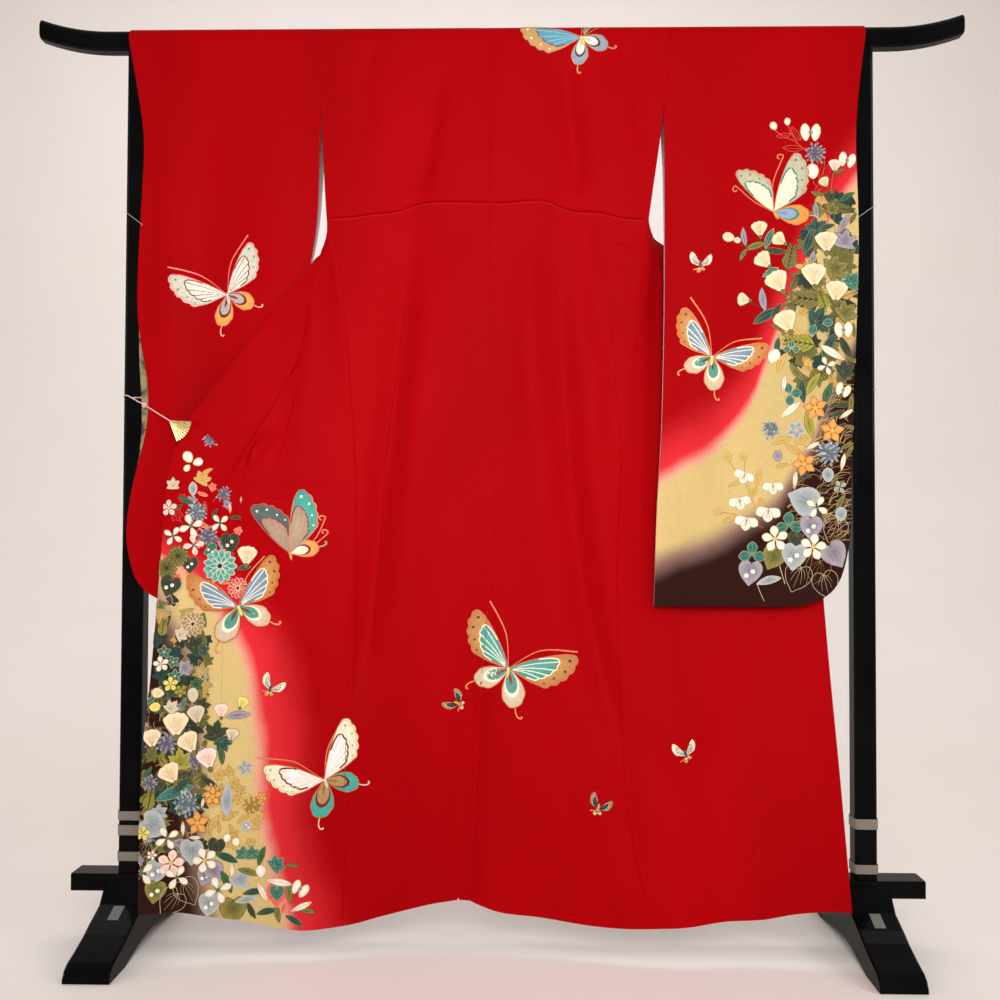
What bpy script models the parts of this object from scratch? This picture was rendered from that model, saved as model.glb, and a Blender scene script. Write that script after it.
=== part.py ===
"""A furisode seen from its back, hung by both sleeves on a black kimono stand.

Metres, +Z up. X runs along the bar, and the garment's back faces -Y. The origin is on the
floor, midway between the feet. Cloth is a wall WALL thick, made through sections: each panel
is a grid between two edge curves, and each edge curve is a short table down the garment.
"""

import math

import bmesh
import bpy
import numpy as np
from mathutils import Matrix, Vector

# Stand
BAR_HALF_LENGTH = 0.850
BAR_TOP = 1.670
BAR_HEIGHT = 0.040
BAR_DEPTH = 0.036
BAR_TIP_RISE = 0.023
BAR_TIP_START = 0.720
POST_X = 0.664
POST_SIDE = 0.040
BOARD_HALF_LENGTH = 0.766
BOARD_TOP = 0.122
BOARD_HEIGHT = 0.031
BOARD_DEPTH = 0.052
FOOT_WIDTH = 0.078
FOOT_HALF_LENGTH = 0.211
FIT_GAP = 0.0003

# Cloth
WALL = 0.002
SEAM_GAP = 0.0003
ARCH_RADIUS = BAR_DEPTH / 2 + 0.0050
ARCH_CENTRE = BAR_TOP - 0.0210
BACK_COLUMNS = 10
FRONT_COLUMNS = 7
OKUMI_COLUMNS = 7
OKUMI_SEAM_COLUMNS = 3
COLLAR_COLUMNS = 4
TUCK_STEP = 0.0025
FRONT_BOW = 0.006
COLLAR_EASE = 0.0014

# Rows down the body as shares of its length: waist 0, hem 1, bottom of the armhole -0.5, shoulder -1
LOWER_ROWS = (0.02, 0.04, 0.055, 0.075, 0.10, 0.14, 0.18, 0.22, 0.26, 0.30, 0.34, 0.385, 0.43, 0.475, 0.52,
              0.565, 0.61, 0.655, 0.70, 0.745, 0.79, 0.835, 0.88, 0.92, 0.96, 1.0)
TUCK_ROWS = (-0.016, 0.0)
WAIST_ROWS = (-0.38, -0.26, -0.14, -0.08)
ARMHOLE_ROWS = (-1.0, -0.88, -0.75, -0.62, -0.5)
KENSAKI_ROW = 0.22
SLEEVE_ROWS = (0.06, 0.12, 0.18, 0.24, 0.30, 0.36, 0.42, 0.48, 0.54, 0.60, 0.66, 0.72, 0.78, 0.84, 0.90,
               0.95, 1.0)
ARCH_STEPS = 6


def table(columns, *rows):
    """Rows of numbers as dictionaries, by the names of their columns."""
    names = columns.split()
    return [dict(zip(names, row)) for row in rows]


# Edge curves of the panels: down is the share of the way down, then the place
LEFT_SIDE = table(
    "down x y z",
    (-1.0, -0.333, -0.0230, 1.649),
    (-0.5, -0.3235, -0.0250, 1.497),
    (0.0, -0.3120, -0.0245, 1.312),
    (0.154, -0.2800, -0.0320, 1.116),
    (0.371, -0.2560, -0.0450, 0.842),
    (0.618, -0.2640, -0.0600, 0.531),
    (0.80, -0.2630, -0.0650, 0.302),
    (1.0, -0.2580, -0.0660, 0.049),
)
CENTRE_SEAM = table(
    "down x y z",
    (-1.0, -0.0130, -0.0230, 1.649),
    (-0.5, -0.0125, -0.0260, 1.505),
    (0.0, -0.0120, -0.0270, 1.343),
    (0.154, -0.0120, -0.0290, 1.140),
    (0.371, -0.0115, -0.0300, 0.860),
    (0.54, -0.0130, -0.0320, 0.640),
    (0.70, -0.0280, -0.0360, 0.440),
    (1.0, -0.0440, -0.0410, 0.085),
)
RIGHT_SIDE = table(
    "down x y z",
    (-1.0, 0.3160, -0.0230, 1.649),
    (-0.5, 0.3010, -0.0250, 1.497),
    (0.0, 0.2740, -0.0245, 1.301),
    (0.154, 0.2510, -0.0280, 1.110),
    (0.371, 0.2270, -0.0300, 0.842),
    (0.492, 0.2240, -0.0320, 0.690),
    (0.70, 0.2200, -0.0500, 0.420),
    (0.80, 0.2300, -0.0660, 0.295),
    (1.0, 0.2530, -0.0880, 0.055),
)
# The hidden side edges of the fronts, from the shoulder down to where the side seam starts
LEFT_FRONT_SIDE = table(
    "down x y z",
    (-1.0, -0.3330, 0.0230, 1.649),
    (-0.5, -0.3235, 0.0250, 1.497),
    (-0.26, -0.3170, 0.0240, 1.410),
    (-0.14, -0.3135, 0.0120, 1.365),
    (0.0, -0.3120, -0.0245, 1.312),
)
RIGHT_FRONT_SIDE = table(
    "down x y z",
    (-1.0, 0.3160, 0.0230, 1.649),
    (-0.5, 0.3010, 0.0250, 1.497),
    (-0.26, 0.2860, 0.0240, 1.405),
    (-0.14, 0.2790, 0.0120, 1.355),
    (0.0, 0.2740, -0.0245, 1.301),
)
# The inner edges of the fronts: along the collar from the neck down, then the seam of the okumi
LEFT_INNER = table(
    "down x y z",
    (-1.0, -0.1090, 0.0230, 1.649),
    (-0.75, -0.1350, 0.0250, 1.575),
    (-0.5, -0.1800, 0.0250, 1.500),
    (-0.26, -0.2350, 0.0250, 1.412),
    (-0.14, -0.2700, 0.0245, 1.358),
    (0.0, -0.3000, 0.0140, 1.300),
    (0.02, -0.3160, 0.0020, 1.279),
    (0.04, -0.3225, -0.0160, 1.257),
    (0.055, -0.3215, -0.0330, 1.238),
    (0.10, -0.3350, -0.0470, 1.185),
    (0.154, -0.3430, -0.0490, 1.105),
    (0.22, -0.3620, -0.0500, 1.035),
    (0.303, -0.4150, -0.0530, 0.935),
    (0.371, -0.4520, -0.0580, 0.842),
    (0.492, -0.4760, -0.0640, 0.690),
    (0.618, -0.4820, -0.0730, 0.531),
    (0.80, -0.4760, -0.0940, 0.290),
    (1.0, -0.4870, -0.1010, 0.073),
)
RIGHT_INNER = table(
    "down x y z",
    (-1.0, 0.0830, 0.0230, 1.649),
    (-0.75, 0.1090, 0.0250, 1.575),
    (-0.5, 0.1550, 0.0250, 1.500),
    (-0.26, 0.2150, 0.0250, 1.405),
    (-0.14, 0.2480, 0.0220, 1.348),
    (0.0, 0.2880, 0.0130, 1.285),
    (0.055, 0.3080, 0.0080, 1.225),
    (0.154, 0.3450, 0.0030, 1.120),
    (0.22, 0.3680, 0.0000, 1.035),
    (0.371, 0.4300, 0.0000, 0.842),
    (0.492, 0.4500, -0.0020, 0.690),
    (0.618, 0.4540, -0.0180, 0.531),
    (0.80, 0.4560, -0.0550, 0.290),
    (1.0, 0.4680, -0.0830, 0.072),
)
# The free edges of the okumi, from the collar's end to the hem
LEFT_EDGE = table(
    "down x y z",
    (0.22, -0.5510, -0.0530, 0.944),
    (0.371, -0.5900, -0.0600, 0.830),
    (0.492, -0.5960, -0.0640, 0.700),
    (0.618, -0.6060, -0.0760, 0.513),
    (0.80, -0.6160, -0.0960, 0.300),
    (1.0, -0.6140, -0.1120, 0.079),
)
RIGHT_EDGE = table(
    "down x y z",
    (0.22, 0.5600, 0.0020, 0.983),
    (0.371, 0.5800, 0.0000, 0.800),
    (0.492, 0.5900, -0.0080, 0.650),
    (0.618, 0.5970, -0.0240, 0.510),
    (0.80, 0.6070, -0.0600, 0.295),
    (1.0, 0.6190, -0.0820, 0.084),
)
# Where the collar's square end cuts into the top of each okumi
LEFT_COLLAR_CORNER = (-0.4640, -0.0560, 0.865)
RIGHT_COLLAR_CORNER = (0.4650, 0.0000, 0.885)
# The collar's free edge at named rows, from each end up to the middle of the neck
LEFT_COLLAR_EDGE = table(
    "row x y z",
    ("end", -0.5510, -0.0530, 0.944),
    (0.22, -0.4450, -0.0465, 1.083),
    (0.055, -0.3290, -0.0370, 1.236),
    (0.02, -0.3130, 0.0060, 1.262),
    (0.0, -0.2760, 0.0250, 1.303),
    (-0.14, -0.2410, 0.0275, 1.339),
    (-0.26, -0.1950, 0.0265, 1.382),
    (-0.5, -0.1330, 0.0255, 1.472),
    (-1.0, -0.0600, 0.0260, 1.585),
    ("neck", -0.0480, 0.0260, 1.597),
)
RIGHT_COLLAR_EDGE = table(
    "row x y z",
    ("end", 0.5600, 0.0020, 0.983),
    (0.22, 0.4650, 0.0045, 1.099),
    (0.055, 0.3450, 0.0100, 1.246),
    (0.02, 0.3140, 0.0190, 1.269),
    (0.0, 0.2930, 0.0245, 1.283),
    (-0.14, 0.2320, 0.0275, 1.334),
    (-0.26, 0.1790, 0.0262, 1.378),
    (-0.5, 0.1100, 0.0255, 1.470),
    (-1.0, 0.0360, 0.0260, 1.585),
    ("neck", 0.0220, 0.0260, 1.597),
)
NECK_MIDDLE_EDGE = (-0.0130, 0.0260, 1.606)

# The hem between the seams: it dips and swings forward and back
HEM = table(
    "x y z",
    (-0.614, -0.1120, 0.079),
    (-0.563, -0.1120, 0.081),
    (-0.487, -0.1010, 0.073),
    (-0.433, -0.0920, 0.063),
    (-0.376, -0.0820, 0.050),
    (-0.342, -0.0760, 0.046),
    (-0.258, -0.0660, 0.049),
    (-0.210, -0.0560, 0.059),
    (-0.160, -0.0490, 0.070),
    (-0.090, -0.0420, 0.083),
    (-0.044, -0.0410, 0.085),
    (0.016, -0.0480, 0.066),
    (0.076, -0.0540, 0.063),
    (0.143, -0.0660, 0.056),
    (0.187, -0.0740, 0.053),
    (0.253, -0.0880, 0.055),
    (0.358, -0.0860, 0.063),
    (0.468, -0.0830, 0.072),
    (0.520, -0.0800, 0.081),
    (0.575, -0.0790, 0.088),
    (0.619, -0.0820, 0.084),
)

# Sleeves: the cuff edge of the back layer and of the front layer, and the edge by the body
LEFT_CUFF = table(
    "down x y front_x front_y z",
    (-1.0, -0.681, -0.0230, -0.681, 0.0230, 1.649),
    (-0.75, -0.666, -0.0245, -0.672, 0.0235, 1.573),
    (-0.62, -0.659, -0.0258, -0.640, 0.0232, 1.534),
    (-0.5, -0.652, -0.0270, -0.638, 0.0150, 1.497),
    (0.03, -0.646, -0.0285, -0.640, -0.0245, 1.465),
    (0.10, -0.648, -0.0290, -0.645, -0.0250, 1.407),
    (0.28, -0.655, -0.0300, -0.652, -0.0262, 1.240),
    (0.38, -0.657, -0.0310, -0.654, -0.0270, 1.150),
    (0.50, -0.641, -0.0320, -0.652, -0.0280, 1.037),
    (0.57, -0.631, -0.0320, -0.647, -0.0280, 0.981),
    (0.64, -0.636, -0.0320, -0.645, -0.0280, 0.915),
    (0.74, -0.661, -0.0320, -0.659, -0.0285, 0.815),
    (0.86, -0.671, -0.0320, -0.669, -0.0285, 0.735),
    (1.0, -0.667, -0.0320, -0.666, -0.0285, 0.690),
)
LEFT_SLEEVE_INNER = table(
    "down x y front_y z",
    (-1.0, -0.333, -0.0230, 0.0230, 1.649),
    (-0.5, -0.3235, -0.0250, 0.0250, 1.497),
    (0.10, -0.3250, -0.0280, 0.0130, 1.407),
    (0.22, -0.3270, -0.0285, -0.0040, 1.300),
    (0.29, -0.3400, -0.0290, -0.0160, 1.235),
    (0.40, -0.3440, -0.0300, -0.0200, 1.130),
    (0.60, -0.3370, -0.0310, -0.0240, 0.945),
    (1.0, -0.3350, -0.0320, -0.0285, 0.609),
)
RIGHT_CUFF = table(
    "down x y front_x front_y z",
    (-1.0, 0.669, -0.0230, 0.669, 0.0230, 1.649),
    (-0.75, 0.6580, -0.0245, 0.6700, 0.0235, 1.573),
    (-0.62, 0.6540, -0.0258, 0.6400, 0.0232, 1.534),
    (-0.5, 0.6500, -0.0270, 0.6380, 0.0150, 1.497),
    (0.03, 0.6470, -0.0285, 0.6400, -0.0245, 1.465),
    (0.10, 0.6490, -0.0290, 0.6460, -0.0250, 1.407),
    (0.24, 0.6520, -0.0305, 0.6500, -0.0265, 1.280),
    (0.38, 0.6480, -0.0320, 0.6460, -0.0280, 1.150),
    (0.57, 0.6410, -0.0335, 0.6390, -0.0295, 0.965),
    (0.74, 0.6360, -0.0340, 0.6340, -0.0302, 0.815),
    (0.86, 0.6340, -0.0340, 0.6320, -0.0302, 0.735),
    (1.0, 0.6280, -0.0340, 0.6265, -0.0302, 0.690),
)
RIGHT_SLEEVE_INNER = table(
    "down x y front_y z",
    (-1.0, 0.3160, -0.0230, 0.0230, 1.649),
    (-0.5, 0.3010, -0.0250, 0.0250, 1.497),
    (0.10, 0.3030, -0.0285, 0.0000, 1.407),
    (0.29, 0.3030, -0.0310, -0.0190, 1.235),
    (0.60, 0.2980, -0.0330, -0.0240, 0.945),
    (0.80, 0.2880, -0.0340, -0.0280, 0.775),
    (1.0, 0.2830, -0.0340, -0.0302, 0.612),
)
SLEEVE_BOTTOM = 0.609
CORNER_ROUND = 0.092
# Columns of a sleeve from its cuff edge to the body, close together round the corner
SLEEVE_SHARES = (0.0, 0.03, 0.075, 0.13, 0.21, 0.33, 0.48, 0.65, 0.82, 1.0)

# Long soft folds: a line through three places, half its width, and how far it stands out (+) or in (-)
FOLDS = table(
    "x1 z1 x2 z2 x3 z3 half_width depth",
    (-0.150, 1.560, -0.160, 1.300, -0.172, 1.080, 0.030, -0.007),
    (-0.250, 1.560, -0.245, 1.450, -0.235, 1.360, 0.030, 0.004),
    (0.120, 1.600, 0.128, 1.400, 0.122, 1.180, 0.030, -0.007),
    (0.215, 1.560, 0.215, 1.450, 0.205, 1.360, 0.028, 0.004),
    (-0.175, 1.240, -0.198, 0.860, -0.232, 0.480, 0.020, -0.012),
    (-0.125, 1.200, -0.150, 0.800, -0.185, 0.380, 0.034, 0.008),
    (0.098, 1.260, 0.128, 0.900, 0.160, 0.640, 0.020, -0.011),
    (0.156, 0.680, 0.180, 0.540, 0.212, 0.400, 0.018, -0.010),
    (0.060, 1.150, 0.085, 0.800, 0.120, 0.420, 0.034, 0.008),
    (0.192, 1.200, 0.208, 1.010, 0.214, 0.860, 0.016, -0.007),
    (0.160, 1.150, 0.176, 0.900, 0.196, 0.640, 0.024, 0.006),
    (-0.034, 0.600, -0.052, 0.340, -0.064, 0.000, 0.018, -0.009),
    (0.004, 0.560, -0.010, 0.340, -0.018, 0.000, 0.018, 0.010),
    (0.300, 0.520, 0.318, 0.280, 0.330, 0.000, 0.036, 0.010),
    (0.380, 0.420, 0.398, 0.240, 0.405, 0.000, 0.032, -0.009),
    (0.545, 0.460, 0.560, 0.260, 0.566, 0.000, 0.030, 0.009),
    (-0.310, 0.360, -0.318, 0.200, -0.322, 0.000, 0.032, 0.011),
    (-0.405, 0.420, -0.412, 0.240, -0.420, 0.000, 0.034, -0.010),
    (-0.545, 0.640, -0.545, 0.360, -0.548, 0.000, 0.030, -0.010),
    (-0.420, 1.000, -0.430, 0.900, -0.440, 0.780, 0.022, 0.008),
    (-0.500, 0.900, -0.520, 0.760, -0.530, 0.640, 0.024, -0.006),
)
# Hanging curves between two points that hold the cloth up
SWAGS = table(
    "x z half_length rise half_width depth",
    (-0.362, 0.700, 0.080, 0.100, 0.020, 0.010),
    (-0.362, 0.590, 0.084, 0.110, 0.022, -0.009),
    (-0.368, 0.480, 0.088, 0.120, 0.024, 0.008),
    (0.335, 0.300, 0.105, 0.160, 0.034, -0.010),
    (0.335, 0.400, 0.100, 0.150, 0.028, 0.008),
)
# The pleat beside the left side seam: its lip, how far it stands out and how soon it dies away
PLEAT_LIP = table("x z out", (-0.3270, 1.200, 0.000), (-0.3400, 1.110, 0.010),
                  (-0.3600, 0.930, 0.009), (-0.3730, 0.760, 0.0))
PLEAT_SHARPNESS = 0.010
PLEAT_LENGTH = 0.045
# Folds of the sleeves and of the fronts behind, in the same columns as FOLDS
SLEEVE_FOLDS = table(
    "x1 z1 x2 z2 x3 z3 half_width depth",
    (-0.610, 1.620, -0.600, 1.350, -0.590, 1.050, 0.030, 0.006),
    (-0.540, 1.560, -0.530, 1.300, -0.525, 1.050, 0.045, -0.005),
    (-0.430, 1.480, -0.425, 1.200, -0.420, 0.900, 0.040, 0.005),
    (-0.560, 0.960, -0.575, 0.800, -0.585, 0.660, 0.035, 0.004),
    (0.390, 1.450, 0.392, 1.150, 0.395, 0.850, 0.045, 0.004),
    (0.560, 1.500, 0.556, 1.250, 0.552, 0.950, 0.045, -0.004),
    (0.480, 1.000, 0.480, 0.850, 0.485, 0.680, 0.050, 0.004),
)
HIDDEN_FOLDS = table(
    "x1 z1 x2 z2 x3 z3 half_width depth",
    (-0.250, 1.640, -0.275, 1.500, -0.295, 1.380, 0.022, -0.006),
    (-0.170, 1.640, -0.215, 1.540, -0.255, 1.440, 0.020, 0.005),
    (0.230, 1.640, 0.250, 1.500, 0.268, 1.380, 0.022, -0.006),
    (0.150, 1.640, 0.192, 1.540, 0.232, 1.440, 0.020, 0.005),
)


def smooth(places, values, at):
    """Values between the given ones, on a curve that never overshoots them."""
    places = np.asarray(places, float)
    values = np.asarray(values, float)
    at = np.clip(np.asarray(at, float), places[0], places[-1])
    step = np.diff(places)
    slope = np.diff(values) / step
    bend = np.zeros_like(values)
    bend[0] = slope[0]
    bend[-1] = slope[-1]
    same_way = slope[1:] * slope[:-1] > 0
    mean = 2 * slope[1:] * slope[:-1] / np.where(same_way, slope[1:] + slope[:-1], 1)
    bend[1:-1] = np.where(same_way, mean, 0)
    n = np.clip(np.searchsorted(places, at, side="right") - 1, 0, len(step) - 1)
    t = (at - places[n]) / step[n]
    rise = values[n] * (2 * t**3 - 3 * t**2 + 1) + values[n + 1] * (3 * t**2 - 2 * t**3)
    return rise + step[n] * (bend[n] * (t**3 - 2 * t**2 + t) + bend[n + 1] * (t**3 - t**2))


def column(rows, name, at, by="down"):
    return smooth([row[by] for row in rows], [row[name] for row in rows], at)


def edge(rows, at, names="x y z"):
    """Points of an edge curve at the given shares of the way down."""
    return np.stack([column(rows, name, at) for name in names.split()], axis=-1)


def ramp(value, low, high):
    t = np.clip((value - low) / (high - low), 0, 1)
    return t * t * (3 - 2 * t)


def fold_depth(folds, x, z):
    """How far the folds move a point out, towards the garment's outer side."""
    out = np.zeros_like(x)
    for f in folds:
        length = f["z1"] - f["z3"]
        along = (f["z1"] - z) / length
        t = np.clip(along, 0, 1)
        # A curve through the three places, by the share of the height
        middle = (f["z1"] - f["z2"]) / length
        bow = (f["x2"] - f["x1"] - middle * (f["x3"] - f["x1"])) / (middle * (1 - middle))
        line = f["x1"] + t * (f["x3"] - f["x1"]) + bow * t * (1 - t)
        ends = ramp(along, -0.15, 0.25) * (1 - ramp(along, 0.80, 1.15) * (f["z3"] > 0.01))
        out += f["depth"] * ends * np.exp(-(((x - line) / f["half_width"]) ** 2))
    return out


def swag_depth(x, z):
    out = np.zeros_like(x)
    for s in SWAGS:
        across = (x - s["x"]) / s["half_length"]
        line = s["z"] + s["rise"] * across**2
        ends = 1 - ramp(np.abs(across), 0.55, 1.0)
        out += s["depth"] * ends * np.exp(-(((z - line) / s["half_width"]) ** 2))
    return out


def pleat_depth(x, z):
    heights = [row["z"] for row in reversed(PLEAT_LIP)]
    lip = smooth(heights, [row["x"] for row in reversed(PLEAT_LIP)], z)
    out = smooth(heights, [row["out"] for row in reversed(PLEAT_LIP)], z)
    inside = (z < heights[-1]) & (z > heights[0])
    beyond = x - lip
    lipped = ramp(beyond, -PLEAT_SHARPNESS, PLEAT_SHARPNESS) * np.exp(-np.maximum(beyond, 0) / PLEAT_LENGTH)
    return np.where(inside, out * lipped, 0)


def draped(points, weight=1.0):
    """The points with the visible folds of the body added."""
    x, z = points[..., 0], points[..., 2]
    moved = points.copy()
    moved[..., 1] -= weight * (fold_depth(FOLDS, x, z) + swag_depth(x, z) + pleat_depth(x, z))
    return moved


def between(first, second, columns):
    """A grid whose rows run straight from first to second; columns is a number or shares of the way."""
    share = np.linspace(0, 1, columns + 1) if np.isscalar(columns) else columns
    share = share[None, :, None]
    return first[:, None, :] * (1 - share) + second[:, None, :] * share


def hung_to_hem(grid, rows):
    """The grid with its lowest rows brought onto the hem's own curve."""
    across = grid[-1, :, 0]
    hem = np.stack([column(HEM, name, across, by="x") for name in ("y", "z")], axis=-1)
    off = hem - grid[-1, :, 1:]
    pull = ramp(np.asarray(rows), 0.45, 1.0)[:, None, None]
    grid = grid.copy()
    grid[:, :, 1:] += off[None] * pull
    return grid


def arch(side_x, inner_x, columns, steps):
    """Rows over the bar, from the back of it to the front."""
    share = np.linspace(0, 1, columns + 1)
    x = side_x * (1 - share) + inner_x * share
    rows = []
    for step in steps:
        turn = math.pi * step / ARCH_STEPS
        y = np.full_like(x, -ARCH_RADIUS * math.cos(turn))
        z = np.full_like(x, ARCH_CENTRE + ARCH_RADIUS * math.sin(turn))
        rows.append(np.stack([x, y, z], axis=-1))
    return np.array(rows)


def body_half(side, front_side, inner, bow):
    """One body length: (back grid from hem to the top of the bar, front grid from there to the hem)."""
    lower = np.array(LOWER_ROWS)
    upper = np.array(ARMHOLE_ROWS + WAIST_ROWS + TUCK_ROWS)
    rows = np.concatenate([upper, lower])
    back = between(edge(side, rows), edge(CENTRE_SEAM, rows), BACK_COLUMNS)
    back = hung_to_hem(back, rows)
    # The arc of the waist tuck is flat in the middle and falls to the sides
    share = np.linspace(0, 1, BACK_COLUMNS + 1)
    lift = 0.012 * np.sin(np.pi * ramp(share, 0.1, 1.0))
    near_waist = np.exp(-((rows / 0.35) ** 2))
    back[:, :, 2] += near_waist[:, None] * lift[None]
    back[len(upper) - 1 :, :, 1] += TUCK_STEP * (1 - ramp(rows[len(upper) - 1 :], 0.0, 0.30))[:, None]
    back = draped(back, ramp(rows, -1.0, -0.85)[:, None])
    sewn = rows <= ARMHOLE_ROWS[-1]
    back[sewn, 0] = edge(side, rows[sewn])
    over = arch(side[0]["x"], CENTRE_SEAM[0]["x"], BACK_COLUMNS, range(1, ARCH_STEPS // 2 + 1))
    back = np.concatenate([back[::-1], over])
    behind = edge(side, np.maximum(rows, 0))
    ahead = edge(front_side, np.minimum(rows, 0))
    side_rows = np.where((rows >= 0)[:, None], behind, ahead)
    front = between(side_rows, edge(inner, rows), FRONT_COLUMNS)
    front = hung_to_hem(front, rows)
    first_lower = len(upper) - 1
    front[first_lower:, 0] = back[::-1][ARCH_STEPS // 2 + first_lower : ARCH_STEPS // 2 + len(rows), 0]
    across = np.linspace(0, 1, FRONT_COLUMNS + 1)
    # A positive bow brings the front out between its seams, a negative one takes it back behind the sleeve
    early = 1 - (1 - across) ** 3 - across if bow < 0 else np.sin(np.pi * across)
    reach = front[:, -1, 1] - front[:, 0, 1] if bow < 0 else np.full(len(rows), -bow)
    bowed = ramp(rows, 0.05, 0.14) * (1 - ramp(rows, 0.56, 0.72) if bow < 0 else 1)
    front[:, :, 1] += early[None] * (reach * bowed)[:, None]
    folded = draped(front, ramp(rows, 0.05, 0.14)[:, None] * np.where(across > 0, 1, 0)[None])
    x, z = folded[..., 0], folded[..., 2]
    hidden = 1 - ramp(rows, -0.5, -0.1)
    folded[..., 1] += fold_depth(HIDDEN_FOLDS, x, z) * (hidden * ramp(rows, -1.0, -0.8))[:, None]
    folded[sewn, 0] = edge(front_side, rows[sewn])
    return back, folded


def over_to_front(back, front, front_side):
    """The front half of the arch over the bar, from the shared row on its top, then the front."""
    keep = back[-1, : FRONT_COLUMNS + 1]
    rows = [keep]
    for step in range(1, ARCH_STEPS // 2):
        turn = math.pi * step / ARCH_STEPS
        row = keep + (front[0] - keep) * np.array([step / (ARCH_STEPS // 2), 0, 0])
        row[:, 1] = ARCH_RADIUS * math.sin(turn)
        row[:, 2] = ARCH_CENTRE + ARCH_RADIUS * math.cos(turn)
        rows.append(row)
    return np.concatenate([np.array(rows), front])


def okumi(inner, free_edge, corner, front):
    """The okumi's grid, from its seam to its free edge, with the collar's end cut into its top."""
    rows = np.array([row for row in LOWER_ROWS if row >= KENSAKI_ROW])
    seam = front[-len(rows) :, -1]
    grid = between(seam, edge(free_edge, rows), OKUMI_COLUMNS)
    grid = hung_to_hem(grid, rows)
    grid[:, 0] = seam
    first = seam[0]
    last = grid[0, -1].copy()
    turn = np.array(corner)
    top = [first + (turn - first) * n / OKUMI_SEAM_COLUMNS for n in range(OKUMI_SEAM_COLUMNS)]
    rest = OKUMI_COLUMNS - OKUMI_SEAM_COLUMNS
    top += [turn + (last - turn) * n / rest for n in range(rest + 1)]
    off = np.array(top) - grid[0]
    fade = 1 - ramp(rows, KENSAKI_ROW, 0.60)
    grid = grid + off[None] * fade[:, None, None]
    across = np.linspace(0, 1, OKUMI_COLUMNS + 1)
    weight = ramp(rows, KENSAKI_ROW, 0.34)[:, None] * np.where(across > 0, 1, 0)[None]
    return draped(grid, weight)


def collar_half(okumi_grid, front, back, edge_rows):
    """(points along the collar's seam, points along its free edge, its end), from its end up to the neck."""
    top = okumi_grid[0]
    lower = [row for row in LOWER_ROWS if row <= KENSAKI_ROW]
    upper = list(ARMHOLE_ROWS + WAIST_ROWS + TUCK_ROWS)
    waist = len(front) - len(LOWER_ROWS) - 1
    seam = list(top[OKUMI_SEAM_COLUMNS:0:-1])
    rows = ["end"] + [None] * (len(seam) - 1) + lower[::-1] + upper[::-1]
    seam += [front[n, -1] for n in range(waist + len(lower), 0, -1)]
    rows += [None] * (len(seam) - len(rows)) + ["neck"]
    seam += list(back[-1, FRONT_COLUMNS:])
    stations = [rows.index(row["row"]) for row in edge_rows] + [len(seam) - 1]
    free = []
    for axis, name in enumerate("xyz"):
        values = [row[name] for row in edge_rows] + [NECK_MIDDLE_EDGE[axis]]
        free.append(smooth(stations, values, np.arange(len(seam))))
    return np.array(seam), np.stack(free, axis=-1), top[OKUMI_SEAM_COLUMNS:]


def collar(left, right):
    seam = np.concatenate([left[0], right[0][-2::-1]])
    free = np.concatenate([left[1], right[1][-2::-1]])
    grid = between(seam, free, COLLAR_COLUMNS)
    # Over the neck the collar bends round the bar before it hangs down behind it
    for n, (start, stop) in enumerate(zip(seam, free)):
        if start[2] < ARCH_CENTRE - 0.0001:
            continue
        lean = math.atan2(start[1], start[2] - ARCH_CENTRE)
        for c in range(1, COLLAR_COLUMNS):
            share = c / COLLAR_COLUMNS
            turn = lean + (math.pi / 2 - lean) * min(1, 2 * share)
            down = max(0, 2 * share - 1)
            radius = ARCH_RADIUS + COLLAR_EASE
            grid[n, c, 1] = radius * math.sin(turn) * (1 - down) + stop[1] * down
            grid[n, c, 2] = (ARCH_CENTRE + radius * math.cos(turn)) * (1 - down) + stop[2] * down
    grid[0] = left[2]
    grid[-1] = right[2]
    return grid


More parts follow.
